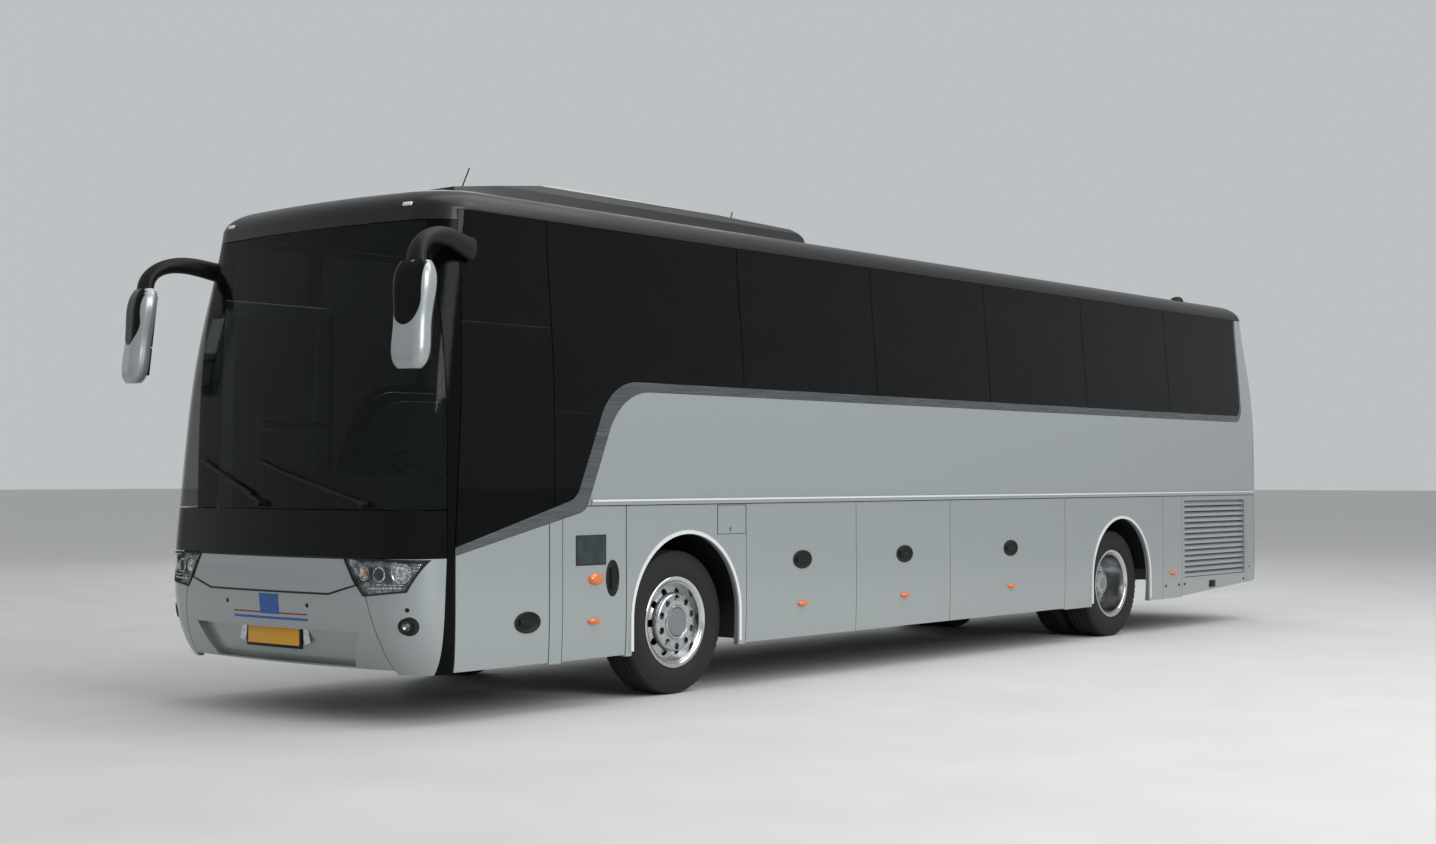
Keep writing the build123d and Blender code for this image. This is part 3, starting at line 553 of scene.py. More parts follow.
def lip(x, sign):
    """One lip round the arch whose middle is at x."""
    inner = ARCH_R - LIP_IN
    outer_r = inner + LIP_WIDE
    ys = (sign * (SIDE_Y - LIP_BACK), sign * (SIDE_Y + LIP_PROUD))
    mesh = bpy.data.meshes.new("lip")
    corners = [(x + inner, ys[0], ARCH_Z), (x + outer_r, ys[0], ARCH_Z),
               (x + outer_r, ys[1], ARCH_Z), (x + inner, ys[1], ARCH_Z)]
    mesh.from_pydata(corners, [], [(0, 1, 2, 3)])
    obj = placed("lip", mesh)
    edit(kind="FACE")
    bpy.ops.mesh.duplicate()
    drop = {"value": (0, 0, LIP_FOOT - ARCH_Z)}
    bpy.ops.mesh.extrude_region_move(TRANSFORM_OT_translate=drop)
    bpy.ops.mesh.select_all(action="DESELECT")
    mode("OBJECT")
    mesh.polygons[0].select = True
    mode("EDIT")
    bpy.ops.mesh.spin(steps=40, angle=math.pi, center=(x, 0, ARCH_Z), axis=(0, 1, 0))
    bpy.ops.mesh.extrude_region_move(TRANSFORM_OT_translate=drop)
    bpy.ops.mesh.select_all(action="SELECT")
    bpy.ops.mesh.remove_doubles(threshold=0.0001)
    bpy.ops.mesh.normals_make_consistent(inside=False)
    mode("OBJECT")
    return obj


for side, sign in SIDES:
    for end, x in (("front", FRONT_X), ("rear", REAR_X)):
        done(lip(x, sign), f"arch_lip_{end}_{side}", anodised_and_highlight, "coach")
lips = [o for o in bpy.data.objects if o.name.startswith("arch_lip")]
print("lips", [tuple(round(v, 3) for v in o.dimensions) for o in lips])

# %% [markdown]
# Covers, trays and seals are cut from copies of the CAD solids, because they have to follow the same curved
# skin. `cut_from` keeps only the faces that pass a test, `solid` gives them thickness, and `bead` lays a
# round rubber seal along their rim. The headlamps and the front flap each get a seal.

# %% Cuts from solids, and seals
def cut_from(name, keep):
    """A copy of a CAD node that keeps only the faces for which keep(centre, normal) holds."""
    obj = copied(frame["nodes"][name])
    obj.parent = None
    edit(kind="FACE")
    bpy.ops.mesh.remove_doubles(threshold=0.00002)
    bpy.ops.mesh.select_all(action="DESELECT")
    mode("OBJECT")
    for face in obj.data.polygons:
        face.select = not keep(face.center, face.normal)
    mode("EDIT")
    bpy.ops.mesh.delete(type="FACE")
    mode("OBJECT")
    return obj


def outward(centre, normal):
    """Whether a face looks forward and out, and not up or down."""
    side = 1 if centre.y > 0 else -1
    return abs(normal.z) < 0.3 and normal.x + side * normal.y > 0.4 and normal.x > 0.1


def solid(obj, thick):
    """Gives faces a thickness behind them, or ahead of them where it is negative."""
    return modified(obj, "SOLIDIFY", thickness=thick, offset=-1)


def bead(name, radius):
    """A round rubber bead along the rim of a node's outward faces."""
    rim = cut_from(name, outward)
    edit("DESELECT", "EDGE")
    bpy.ops.mesh.select_non_manifold()
    bpy.ops.mesh.select_all(action="INVERT")
    bpy.ops.mesh.delete(type="EDGE_FACE")
    mode("OBJECT")
    bpy.ops.object.convert(target="CURVE")
    rim.data.bevel_depth = radius
    rim.data.bevel_resolution = 2
    rim.data.use_fill_caps = True
    bpy.ops.object.convert(target="MESH")
    return rim


for name, radius in (("headlamps", 0.0055), ("front_flap", 0.0065)):
    rim = done(bead(name, radius), f"seal_{name}", seam_rubber)
    print(rim.name, len(rim.data.polygons), tuple(round(v, 3) for v in rim.dimensions))

# %% [markdown]
# A headlamp is a clear cover over a metallised tray. The lamp's outward faces become a 4 mm cover, and the
# faces behind them become the tray. Two turned bowls stand in it, square to the curved cover, with a
# projector between them, a row of white light strips below and bright fins beside them. A fog lamp is a
# smaller bowl in a black ring.

# %% Headlamps and fog lamps
COVER_THICK, TRAY_THICK = 0.004, -0.0015
lamp_cover = solid(cut_from("headlamps", outward), COVER_THICK)
done(lamp_cover, "headlamp_covers", lens, "coach")
# the tray's smoked finish has reflections painted into it as dark and bright patches
tray = cut_from("headlamps", lambda centre, normal: not outward(centre, normal))
done(solid(tray, TRAY_THICK), "headlamp_trays", smoked)

# sections as radius, distance out
BOWL = [(0.0, -0.030), (0.028, -0.028), (0.048, -0.019), (0.058, -0.007), (0.061, -0.005), (0.066, -0.007),
        (0.067, -0.034)]
RING = [(0.046, -0.012), (0.049, -0.004), (0.055, -0.003), (0.060, -0.007), (0.061, -0.034)]
BULB = [(0.0, -0.008), (0.010, -0.010), (0.018, -0.016), (0.021, -0.023), (0.022, -0.030)]
EYE_BALL = [(0.0, -0.008), (0.020, -0.010), (0.036, -0.017), (0.045, -0.027), (0.046, -0.034)]
# section, across, height, size, finish, facets
LAMP_PARTS = [
    (BOWL, 0.885, 0.935, 0.66, reflector, 10), (BULB, 0.885, 0.935, 0.66, amber_lens, 20),
    (RING, 1.005, 0.932, 0.80, reflector, 40), (EYE_BALL, 1.005, 0.932, 0.80, gloss_black, 32),
    (BOWL, 1.150, 0.942, 0.96, reflector, 14), (BULB, 1.150, 0.942, 1.10, lens, 24),
]
FOG_RING = [(0.033, -0.010), (0.036, 0.002), (0.043, 0.006), (0.050, 0.003), (0.052, -0.006)]
FOG_BOWL = [(0.0, -0.030), (0.016, -0.029), (0.029, -0.020), (0.035, -0.008)]
FOG_Z = 0.62
FOG_HALF = 0.052
FOG_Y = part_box("fog_lamps")[1].y - FOG_HALF
LEDS, LED_Y, LED_STEP, LED_Z, LED_RISE = 9, 0.935, 0.026, 0.846, 0.0008
LED_SIZE, LED_IN = (0.004, 0.017, 0.009), 0.009
# height, inner end, outer end
FINS = [(0.992, 1.205, 1.238), (0.976, 1.203, 1.232), (0.960, 1.200, 1.226), (0.872, 1.02, 1.16)]
FIN_DEEP, FIN_TALL, FIN_IN = 0.010, 0.006, 0.010
# a fin lies along the slanted skin, so it is longer than its width across
FIN_SLANT = 1.3

for side, sign in SIDES:
    # the reflector bowls and ring carry glints painted into their colour
    for index, (section, y, z, size, mat, facets) in enumerate(LAMP_PARTS):
        point, normal = front_of("headlamps", y * sign, z)
        part = set_on([(r * size, along * size - COVER_THICK) for r, along in section], point, normal, facets)
        done(part, f"lamp_part_{index}_{side}", mat, "coach", facets > 16)
    leds = []
    for step in range(LEDS):
        point, normal = front_of("headlamps", (LED_Y + step * LED_STEP) * sign, LED_Z + step * LED_RISE)
        leds.append(block(point - normal * LED_IN, LED_SIZE, 0.001, facing(normal), 1))
    done(joined(leds), f"lamp_leds_{side}", white_lens, "coach")
    # the fins' reflector finish carries painted glints as well
    fins = []
    for z, inner, outer in FINS:
        point, normal = front_of("headlamps", (inner + outer) / 2 * sign, z)
        size = (FIN_DEEP, (outer - inner) * FIN_SLANT, FIN_TALL)
        fins.append(block(point - normal * FIN_IN, size, 0.002, facing(normal)))
    done(joined(fins), f"lamp_fins_{side}", reflector, "coach")
    point, normal = front_of("fog_lamps", FOG_Y * sign, FOG_Z)
    done(set_on(FOG_RING, point, normal), f"fog_ring_{side}", satin_black)
    # the fog bowl's smoked finish has painted reflections too
    done(set_on(FOG_BOWL, point, normal, 12), f"fog_bowl_{side}", smoked, "coach", False)
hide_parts("headlamps")
lamp_pieces = [o.name for o in bpy.data.objects if o.name.startswith(("lamp_", "fog_ring", "fog_bowl"))]
print("lamp pieces", len(lamp_pieces))

# %% [markdown]
# Small things on the flanks: each lid has an oval pull and an amber marker. A table holds where they are, as
# a distance ahead of the front axle and a height, with the body that each rides on.

# %% Pulls and markers
# sections as radius, distance out
SIDE_PULL = [(0.0, 0.0012), (0.050, 0.0012), (0.056, 0.006), (0.064, 0.0085), (0.069, 0.006), (0.070, -0.003)]
DOME = [(0.0, 0.030), (0.018, 0.0285), (0.031, 0.022), (0.038, 0.011), (0.0405, 0.003), (0.041, -0.002)]
# body, side, ahead, height
PULLS = [("flap_left_front", 1, 1.576, 0.598), ("locker_left_front", 1, -1.33, 0.905),
         ("locker_left_middle", 1, -2.70, 0.905), ("locker_left_rear", 1, -4.35, 0.905),
         ("locker_right_front", -1, -1.567, 0.905), ("locker_right_rear", -1, -3.38, 0.905)]
MARKERS = [("flap_left_rear", 1, 0.963, 0.572), ("locker_left_front", 1, -1.33, 0.573),
           ("locker_left_middle", 1, -2.70, 0.573), ("locker_left_rear", 1, -4.36, 0.573),
           ("coach", 1, -7.47, 0.569), ("locker_right_front", -1, -1.567, 0.573),
           ("locker_right_rear", -1, -3.38, 0.573), ("coach", -1, -7.47, 0.569), ("coach", -1, 0.9, 0.573)]
CUP_OUT = 0.0005
PADDLE, PADDLE_OUT, PADDLE_AHEAD, PADDLE_ROUND = (0.115, 0.010, 0.040), 0.006, 0.012, 0.004
FLAP_Z = 0.849
GRIP_AHEAD, GRIP_PADDLE = 0.779, (0.040, 0.010, 0.130)


def on_side(sign, ahead, height, proud=0.0):
    """A place on the upright side of the body, proud of it."""
    return (FRONT_X + ahead, sign * (SIDE_Y + proud), height)


def oval(section, place, sign, wide=1.0, tall=1.0):
    """A turned piece stretched along X and Z."""
    piece = turned(section, place, face=sign)
    piece.scale = (wide, 1, tall)
    return piece


for body, sign, ahead, height in PULLS:
    cup = oval(SIDE_PULL, on_side(sign, ahead, height, CUP_OUT), sign, 1.66)
    paddle_at = on_side(sign, ahead + PADDLE_AHEAD, height, PADDLE_OUT)
    paddle = block(paddle_at, PADDLE, PADDLE_ROUND, segments=3)
    done(joined([cup, paddle]), f"pull_{body}", satin_black, body)
for index, (body, sign, ahead, height) in enumerate(MARKERS):
    marker = oval(DOME, on_side(sign, ahead, height), sign, 1.45, 0.56)
    done(marker, f"marker_{index}", amber_lens, body)
turn_lamp = oval(DOME, on_side(1, 0.945, FLAP_Z), 1, 1.75, 0.98)
done(turn_lamp, "side_turn_lamp", amber_lens, "flap_left_rear")
cup = oval(SIDE_PULL, on_side(1, GRIP_AHEAD, FLAP_Z, CUP_OUT), 1, 0.9, 1.76)
paddle = block(on_side(1, GRIP_AHEAD, FLAP_Z, PADDLE_OUT), GRIP_PADDLE, PADDLE_ROUND, segments=3)
done(joined([cup, paddle]), "flap_grip", satin_black, "flap_left_rear")
print("pulls", len(PULLS), "markers", len(MARKERS))

# %% [markdown]
# Two flat panels lie on the left side, each in a thin dark seam: a grey glass one on the rear flap, and the
# fuel filler's painted lid with its lock.

# %% Flat panels
# name, ahead, height, how proud, size, rounding, finish, body, slot
PANELS = [
    ("panel_seal", 0.9875, 1.0415, 0.0012, (0.288, 0.006, 0.200), 0.001, seam_rubber, "flap_left_rear",
     "black_plastic"),
    ("dark_panel", 0.9875, 1.0415, 0.0020, (0.268, 0.006, 0.180), 0.001, sensor_grey, "flap_left_rear",
     "black_gloss"),
    ("filler_seam", -0.4845, 1.22, 0.0003, (0.319, 0.003, 0.210), 0.0005, seam_rubber, "coach",
     "black_plastic"),
    ("filler_lid", -0.4845, 1.22, 0.0010, (0.311, 0.003, 0.202), 0.0005, silver, "coach", "body_paint"),
]
LOCK = [(0, 0.004), (0.009, 0.004), (0.014, 0.006), (0.016, 0.0)]
for name, ahead, height, proud, size, edge, mat, body, slot in PANELS:
    done(block(on_side(1, ahead, height, proud), size, edge, segments=1), name, mat, body)
done(turned(LOCK, on_side(1, -0.47, 1.155, 0.002)), "filler_lock", nut_steel, "coach")
print("panels", [row[0] for row in PANELS])

# %% [markdown]
# Round studs close small holes in the skirts. A flat dark sheet behind the slats of each radiator grille is
# painted shade in the gaps, and a lock holds the grille's lower edge.

# %% Studs and grilles
STUD = [(0, 0.004), (0.010, 0.003), (0.013, 0.0)]
# body, ahead, height
STUDS = [("coach", -7.32, 0.444), ("coach", -7.61, 0.445), ("grille", -7.732, 0.446),
         ("grille", -9.124, 0.445), ("coach", -9.262, 0.568)]
SHADE_THICK, SHADE_UP = 0.003, 0.03
SHADE_LESS_LONG, SHADE_LESS_TALL = 0.12, 0.16
for side, sign in SIDES:
    for index, (body, ahead, height) in enumerate(STUDS):
        body = f"grille_{side}" if body == "grille" else body
        stud = turned(STUD, on_side(sign, ahead, height), face=sign)
        done(stud, f"stud_{side}_{index}", satin_black, body)
    # a flat dark sheet behind the slats paints the shade in the gaps between them
    low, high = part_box(f"grille_{side}")
    inside = low.y if sign > 0 else high.y
    place = ((low.x + high.x) / 2, inside + sign * SHADE_THICK, (low.z + high.z) / 2 + SHADE_UP)
    size = (high.x - low.x - SHADE_LESS_LONG, SHADE_THICK, high.z - low.z - SHADE_LESS_TALL)
    done(block(place, size, 0.001, segments=1), f"grille_mesh_{side}", satin_black, f"grille_{side}")
    lock = block(on_side(sign, -8.364, 0.424, 0.002), (0.120, 0.010, 0.070))
    done(lock, f"grille_lock_{side}", satin_black, f"grille_{side}")
print("studs on each side", len(STUDS))

# %% [markdown]
# A thin pale strip along the belt moulding's top edge is a painted highlight. On the right, the middle door
# interrupts it.

# %% Belt strips: painted highlights
# side, back, front
HIGHLIGHT_STRIPS = [(1, -9.365, 0.98), (-1, -9.365, -5.215), (-1, -4.315, 0.98)]
STRIP_Z, STRIP_OUT = 1.367, 0.0095
STRIP_DEEP, STRIP_TALL = 0.004, 0.013
for index, (sign, back, front) in enumerate(HIGHLIGHT_STRIPS):
    place = on_side(sign, (back + front) / 2, STRIP_Z, STRIP_OUT)
    # a near-white strip that paints the highlight along the moulding's top edge
    strip = block(place, (front - back, STRIP_DEEP, STRIP_TALL), 0.0015)
    done(strip, f"belt_strip_{index}", anodised_and_highlight, "coach")
print("strips", [round(front - back, 3) for sign, back, front in HIGHLIGHT_STRIPS])

# %% [markdown]
# A blank plate sits on a black carrier in the bumper's recess, between two bright wings.

# %% Plate blank
PLATE_Z = 0.515
WING_Y, WING_SIZE, WING_TILT = 0.315, (0.010, 0.060, 0.115), 0.28
recess, _ = front_of("bumper", 0, PLATE_Z)
done(block(recess + Vector((0.009, 0, 0)), (0.018, 0.56, 0.150), 0.006), "plate_carrier", satin_black)
done(block(recess + Vector((0.0185, 0, 0)), (0.003, 0.52, 0.110), 0.0014), "plate_front", plate_yellow)
for side, sign in SIDES:
    wing = block(recess + Vector((0.006, sign * WING_Y, 0.012)), WING_SIZE, turn=(sign * WING_TILT, 0, 0))
    done(wing, f"plate_wing_{side}", bright, "coach")
print("recess at", tuple(round(v, 3) for v in recess))

# %% [markdown]
# Two thin lines and a square are painted on the bumper. A line follows the curved skin as twelve short
# pieces, each square to it. Round distance sensors sit in the bumper and its corners.

# %% Painted lines and sensors
LINE_PIECES, LINE_FROM, LINE_STEP, LINE_LONG = 12, -0.34, 0.0617, 0.0625
PAINT_DEEP = 0.0016
for name, mat, z, tall in (("line_red", red_paint, 0.666, 0.010), ("line_blue", blue_paint, 0.636, 0.022)):
    parts = []
    for step in range(LINE_PIECES):
        point, normal = front_of("bumper", LINE_FROM + (step + 0.5) * LINE_STEP, z)
        yaw = math.atan2(normal.y, normal.x)
        parts.append(block(point, (PAINT_DEEP, LINE_LONG, tall), 0.0004, (0, 0, yaw), 1))
    done(joined(parts), name, mat, "coach")
point, normal = front_of("bumper", 0.04, 0.722)
square = block(point, (0.0014, 0.19, 0.130), 0.0005, facing(normal), 1)
done(square, "blue_square", blue_paint, "coach")
SENSOR = [(0, 0.002), (0.009, 0.002), (0.011, 0.001), (0.013, 0.002), (0.015, -0.002)]
# across, height, skin
SENSORS = [(0.406, 0.725, "bumper"), (-0.406, 0.725, "bumper"),
           (1.178, 0.720, "bumper_corners"), (-1.178, 0.720, "bumper_corners")]
for index, (y, z, skin) in enumerate(SENSORS):
    point, normal = front_of(skin, y, z)
    done(set_on(SENSOR, point, normal, 24), f"sensor_{index}", satin_black)
print("line pieces", LINE_PIECES, "sensors", len(SENSORS))

# %% [markdown]
# Two white marker lamps lean back with the header over the windscreen.

# %% Header markers
HEADER_Y, HEADER_Z, HEADER_LEAN = 0.9, 3.235, -0.5
for side, sign in SIDES:
    point, normal = front_of("roof", HEADER_Y * sign, HEADER_Z)
    turn = (0, HEADER_LEAN, math.atan2(normal.y, normal.x))
    marker = block(point, (0.016, 0.075, 0.026), 0.006, turn, 3)
    done(marker, f"header_marker_{side}", white_lens, "coach")
print("header markers at", tuple(round(v, 3) for v in point))

# %% [markdown]
# The driver's window is split by a line across it, and the second pane has one low down. A gloss black strip,
# 3.5 mm proud of the glass, shows each.

# %% Window lines
# back, front, low, high
WINDOW_LINES = [(1.360, 2.129, 2.474, 2.494), (0.960, 1.330, 1.940, 1.952)]
for index, (back, front, low, high) in enumerate(WINDOW_LINES):
    start = (FRONT_X + (back + front) / 2, BESIDE, (low + high) / 2)
    point, normal = surface("body_glass", start, (0, -1, 0))
    line = block(point + normal * 0.001, (front - back, 0.005, high - low), 0.0015, segments=1)
    done(line, f"window_line_{index}", gloss_black, "coach")
print("window lines", [round(front - back, 3) for back, front, low, high in WINDOW_LINES])

# %% [markdown]
# A mirror head is a silver shell with a gloss black inlay over its brow, shaped like a U. The inlay is a flat
# grid bent to that outline, pressed back onto the head by a shrinkwrap, then given 2 mm of thickness.
# Silvered glass sits on the head's back: a tall flat pane over a small wide-angle one, each in a soft black
# surround.

# %% Mirrors
MIRROR_TURN = math.radians(14)
HEAD_AHEAD, HEAD_OUT, HEAD_Z = 2.656, 1.396, 2.49
INLAY_WIDE, INLAY_TALL, INLAY_ROUND = 0.215, 0.386, 0.17
INLAY_PROUD, INLAY_THICK = 0.0012, 0.002
INLAY_IN, INLAY_UP = 0.010, 0.128
LEAST_WIDTH = 0.02
PANE_WIDE, FRAME_WIDE, FRAME_MORE = 0.200, 0.215, 0.018
# name, height over the head's middle, how tall
PANES = [("flat", 0.095, 0.33), ("wide", -0.180, 0.17)]


def u_shape(place, turn):
    """A panel with a rounded foot, facing along its own +X, pressed onto a mirror head."""
    clear()
    bpy.ops.mesh.primitive_grid_add(x_subdivisions=24, y_subdivisions=36, size=1)
    obj = bpy.context.object
    for vertex in obj.data.vertices:
        across, up = vertex.co.x, vertex.co.y + 0.5
        fall = min(up * INLAY_TALL / INLAY_ROUND, 1)
        half = math.sqrt(max(1 - (1 - fall) ** 2, LEAST_WIDTH))
        vertex.co = (0, across * INLAY_WIDE * half, (up - 0.5) * INLAY_TALL)
    obj.rotation_euler = turn
    obj.location = place
    before = [vertex.co.copy() for vertex in obj.data.vertices]
    modified(obj, "SHRINKWRAP", target=frame["nodes"]["mirror_heads"], wrap_method="PROJECT",
             use_project_x=True, use_negative_direction=True, use_positive_direction=False,
             offset=INLAY_PROUD)
    edit("DESELECT", "VERT")
    mode("OBJECT")
    # a point that has hardly moved has missed the head
    for vertex in obj.data.vertices:
        vertex.select = (vertex.co - before[vertex.index]).length < 0.01
    mode("EDIT")
    bpy.ops.mesh.delete(type="VERT")
    mode("OBJECT")
    return modified(obj, "SOLIDIFY", thickness=INLAY_THICK, offset=0)


for side, sign in SIDES:
    turn = MIRROR_TURN * sign
    ahead = Vector((math.cos(turn), math.sin(turn), 0))
    across = Vector((-math.sin(turn), math.cos(turn), 0)) * sign
    centre = Vector((FRONT_X + HEAD_AHEAD, sign * HEAD_OUT, HEAD_Z))
    inlay = u_shape(centre + ahead * 0.25 - across * INLAY_IN + Vector((0, 0, INLAY_UP)), (0, 0, turn))
    done(inlay, f"mirror_inlay_{side}", gloss_black, "coach")
    for name, z, tall in PANES:
        point, normal = surface("mirror_heads", centre - ahead * 0.4 + Vector((0, 0, z)), ahead)
        back = block(point + normal * 0.003, (0.010, FRAME_WIDE, tall + FRAME_MORE), 0.004, facing(normal), 3)
        pane = block(point + normal * 0.0085, (0.002, PANE_WIDE, tall), 0.0006, facing(normal), 1)
        done(back, f"mirror_frame_{name}_{side}", satin_black)
        done(pane, f"mirror_pane_{name}_{side}", mirror_glass, "coach")
print("inlay faces", len(inlay.data.polygons), "panes on each side", len(PANES))

# %% [markdown]
# A coach seat is foam under stretched plush: a cushion crowned in the middle, and a leaning back that narrows
# into a headrest. Both are cages of a few points, rounded by a subdivision surface, because foam under cloth
# has no sharp edge. One seat is modelled, then copied to every place; each pair stands on one pedestal.

# %% Seats
SALOON_Z = 1.300
SEAT_PITCH = 0.780
LAST_SEAT = -8.900
ROWS = 12
# half a seat's width, half the step between two seats, and how far out a pair stands
SEAT_HALF, SEAT_STEP, PAIR_OUT = 0.205, 0.22, 0.71
# a height between the cushions and the tops of the backs
OVER_CUSHIONS = 1.9
DRIVER_X, DRIVER_Y, DRIVER_Z = 1.350, 0.620, 0.930
PEDESTAL, PEDESTAL_BACK, PEDESTAL_UP = (0.20, 0.10, 0.33), 0.04, 0.17
# corners of a cushion's section as ahead, height, how far it follows the crown
CUSHION = [(0.232, 0.345, 0), (0.236, 0.430, 1), (-0.19, 0.418, 1), (-0.21, 0.345, 0)]
# share of the half width, crown
CROWN = [(-1, 0), (-0.55, 0.010), (0, 0.014), (0.55, 0.010), (1, 0)]
# height, front, back, share of the width
BACK = [(0.400, -0.180, -0.290, 1.0), (0.620, -0.228, -0.345, 1.0), (0.860, -0.290, -0.395, 0.98),
        (1.010, -0.315, -0.425, 0.86), (1.075, -0.325, -0.435, 0.66), (1.135, -0.350, -0.430, 0.56)]


def cage(rows):
    """A closed cage from rows of four corners, rounded as foam."""
    mesh = bpy.data.meshes.new("cage")
    points = [corner for row in rows for corner in row]
    faces = [tuple(4 * level + (k + step) % 4 + 4 * up for step, up in ((0, 0), (1, 0), (1, 1), (0, 1)))
             for level in range(len(rows) - 1) for k in range(4)]
    mesh.from_pydata(points, [], faces + [(3, 2, 1, 0), tuple(range(len(points) - 4, len(points)))])
    obj = placed("cage", mesh)
    edit()
    bpy.ops.mesh.normals_make_consistent(inside=False)
    mode("OBJECT")
    modified(obj, "BEVEL", width=0.022, segments=2)
    return modified(obj, "SUBSURF", levels=1)


def seat_model():
    """One seat: a cushion and a back, over the origin."""
    cushion = cage([[(ahead, SEAT_HALF * share, height + rise * follow) for ahead, height, follow in CUSHION]
                    for share, rise in CROWN])
    rows = []
    for z, ahead, behind, wide in BACK:
        half = SEAT_HALF * wide
        rows.append([(ahead, -half, z), (ahead, half, z), (behind, half, z), (behind, -half, z)])
    return joined([cushion, cage(rows)])


model = seat_model()


def seat_pair(x, floor_z, places, name):
    """Padded seats side by side, and the pedestal under them."""
    pads = []
    for y in places:
        pad = copied(model)
        pad.location = (FRONT_X + x, y, floor_z)
        pads.append(pad)
    pair = done(joined(pads), name, plush, "coach")
    place = (FRONT_X + x - PEDESTAL_BACK, sum(places) / len(places), floor_z + PEDESTAL_UP)
    return pair, block(place, (PEDESTAL[0], PEDESTAL[1] * len(places), PEDESTAL[2]), 0.010)


pairs, legs = [], []
for row in range(ROWS):
    x = LAST_SEAT + SEAT_PITCH * row
    for side, sign in SIDES:
        middle = PAIR_OUT * sign
        start = Vector((FRONT_X + x, middle, OVER_CUSHIONS))
        hit, point, _, _ = frame["nodes"]["seats"].ray_cast(start, Vector((0, 0, -1)))
        if hit and point.z > SALOON_Z + 0.2:
            places = (middle - SEAT_STEP, middle + SEAT_STEP)
            pair, leg = seat_pair(x, SALOON_Z, places, f"seat_pair_{row}_{side}")
            pairs.append(pair)
            legs.append(leg)
legs = done(joined(legs), "seat_pedestals", satin_black)
driver_pad, driver_leg = seat_pair(DRIVER_X, DRIVER_Z, (DRIVER_Y,), "driver_seat_pad")
done(driver_leg, "driver_seat_pedestal", satin_black)
bpy.data.objects.remove(model)
for piece in [legs] + pairs:
    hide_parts("seats")
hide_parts("driver_seat")
print("seat pairs", len(pairs), "faces each", len(pairs[0].data.polygons))

# %% [markdown]
# The air conditioner on the roof pulls air through three round guards: concentric wire rings on crossing
# bars. A small black dome stands near the roof's rear left edge.

# %% Roof fans and dome
FAN_R = 0.19
FANS, FAN_FIRST, FAN_STEP = 3, 0.55, 0.62
RING_SHARES = (1, 0.72, 0.44, 0.16)
WIRE_R, BAR_WIDE = 0.006, 0.010
unit_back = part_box("roof_unit")[0].x
for index in range(FANS):
    x = unit_back + FAN_FIRST + index * FAN_STEP
    top, _ = surface("roof_unit", (x, 0, ABOVE), (0, 0, -1))
    guard = []
    for share in RING_SHARES:
        clear()
        bpy.ops.mesh.primitive_torus_add(major_segments=48, minor_segments=8, major_radius=FAN_R * share,
                                         minor_radius=WIRE_R, location=top + Vector((0, 0, 0.004)))
        guard.append(bpy.context.object)
    for turn in (0, math.pi / 3, math.pi * 2 / 3):
        guard.append(block(top + Vector((0, 0, 0.002)), (FAN_R * 2, BAR_WIDE, WIRE_R), 0.002, (0, 0, turn)))
    done(joined(guard), f"fan_guard_{index}", satin_black)
POD = [(0, 0.052), (0.030, 0.050), (0.052, 0.040), (0.066, 0.020), (0.072, -0.006)]
point, normal = surface("roof", (FRONT_X - 8.25, 0.95, ABOVE), (0, 0, -1))
done(set_on(POD, point, normal, 32), "roof_pod", satin_black)
print("fans", FANS, "roof top at the fans", round(top.z, 3))

# %% [markdown]
# The tail lamps are round lenses on the red columns, and a stop lamp sits over the rear window. The engine
# lid has a row of leaning vent slats and two latches.

# %% Tail lamps, vent and latches
DISH = [(0, 0.010), (0.035, 0.009), (0.060, 0.004), (0.066, 0.006), (0.072, 0.003), (0.074, -0.004)]
TAIL_OUT = 1.085
SLATS, SLAT_Z, SLAT_STEP, SLAT_LEAN = 9, 1.02, 0.042, -0.5
LATCH_OUT, LATCH_Z = 0.62, 0.62
for side, sign in SIDES:
    for name, z, mat in (("fog", 0.99, red_lens), ("turn", 1.17, amber_lens), ("reverse", 1.35, white_lens)):
        point, normal = rear_of("rear_lamps", TAIL_OUT * sign, z)
        done(set_on(DISH, point, normal), f"tail_{name}_{side}", mat, "coach")
vent = []
for step in range(SLATS):
    point, _ = rear_of("engine_lid", 0, SLAT_Z + step * SLAT_STEP)
    vent.append(block(point, (0.012, 1.30, 0.016), 0.004, (0, SLAT_LEAN, 0)))
done(joined(vent), "engine_vent", satin_black, "engine_lid")
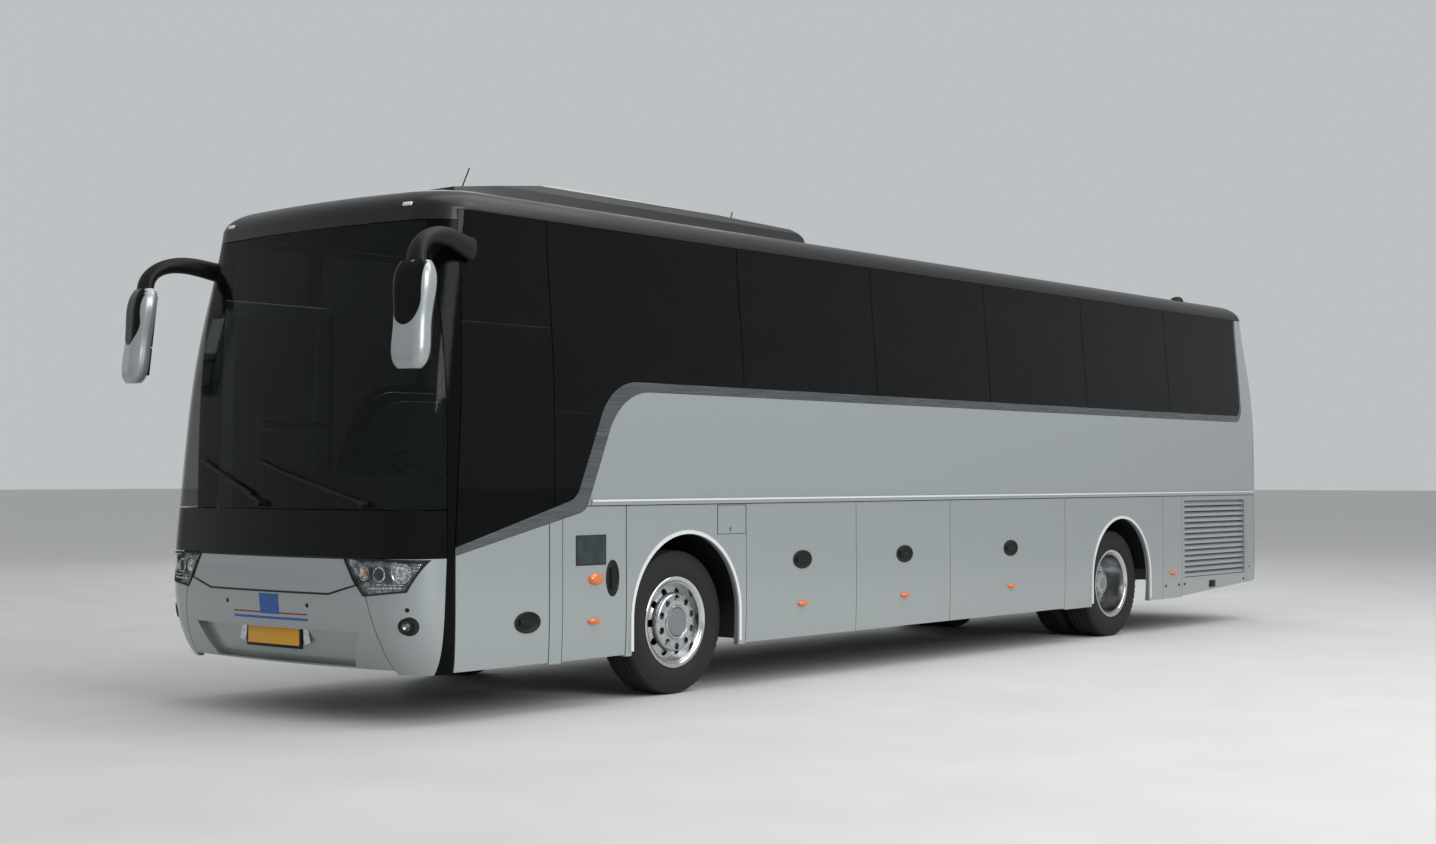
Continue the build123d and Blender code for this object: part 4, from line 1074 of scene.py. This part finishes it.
for side, sign in SIDES:
    point, _ = rear_of("engine_lid", LATCH_OUT * sign, LATCH_Z)
    latch = block(point, (0.014, 0.150, 0.055), 0.006, segments=3)
    done(latch, f"engine_latch_{side}", satin_black, "engine_lid")
point, _ = rear_of("rear_wall", 0, 3.02)
stop_lamp = block(point, (0.018, 0.32, 0.032), 0.006, segments=3)
done(stop_lamp, "high_stop_lamp", red_lens, "coach")
print("vent slats", SLATS, "stop lamp at", tuple(round(v, 3) for v in point))

# %% [markdown]
# The camera stands where the photographer stood, worked out from the coach's known sizes. The floor is pale
# and plain, and large soft lamps and an even sky light the coach without coloured light.

# %% Camera, floor and light
EYE = Vector((FRONT_X + 10.2948, 10.0493, 1.5263))
AIM = Vector((-0.77079, -0.63646, 0.02842))
bpy.ops.object.camera_add(location=EYE)
camera = bpy.context.object
camera.rotation_euler = AIM.to_track_quat("-Z", "Y").to_euler()
camera.data.sensor_width = 36
camera.data.lens = 48.31
bpy.context.scene.camera = camera
clear()
bpy.ops.mesh.primitive_plane_add(size=400, location=(0, 0, 0))
floor = bpy.context.object
floor.name = "floor"
floor.data.materials.append(finish("plain floor, pale", "#C9C9C7", "#CFCFCD", 900, (0.7, 0.8)))
# name, place, size, power, where it shines
LAMPS = [("sky", (0, 4, 14), 14, 900, (0, 0, -1)), ("key", (5, 17, 9), 9, 1500, (-0.1, -1, -0.45)),
         ("fill", (-4, 11, 14), 9, 600, (0.2, -1, -1)), ("back", (-12, -14, 9), 9, 500, (0.7, 1, -0.5))]
for name, place, size, power, aim in LAMPS:
    bpy.ops.object.light_add(type="AREA", location=place)
    lamp = bpy.context.object
    lamp.name = name
    lamp.data.size = size
    lamp.data.energy = power
    lamp.rotation_euler = Vector(aim).to_track_quat("-Z", "Y").to_euler()
world = bpy.context.scene.world or bpy.data.worlds.new("studio")
bpy.context.scene.world = world
world.use_nodes = True
sky = world.node_tree.nodes["Background"]
sky.inputs["Color"].default_value = linear("#D8DBDD")
sky.inputs["Strength"].default_value = 0.75
bpy.context.scene.view_settings.view_transform = "Standard"
print("camera at", tuple(round(v, 3) for v in EYE), "lamps", len(LAMPS))
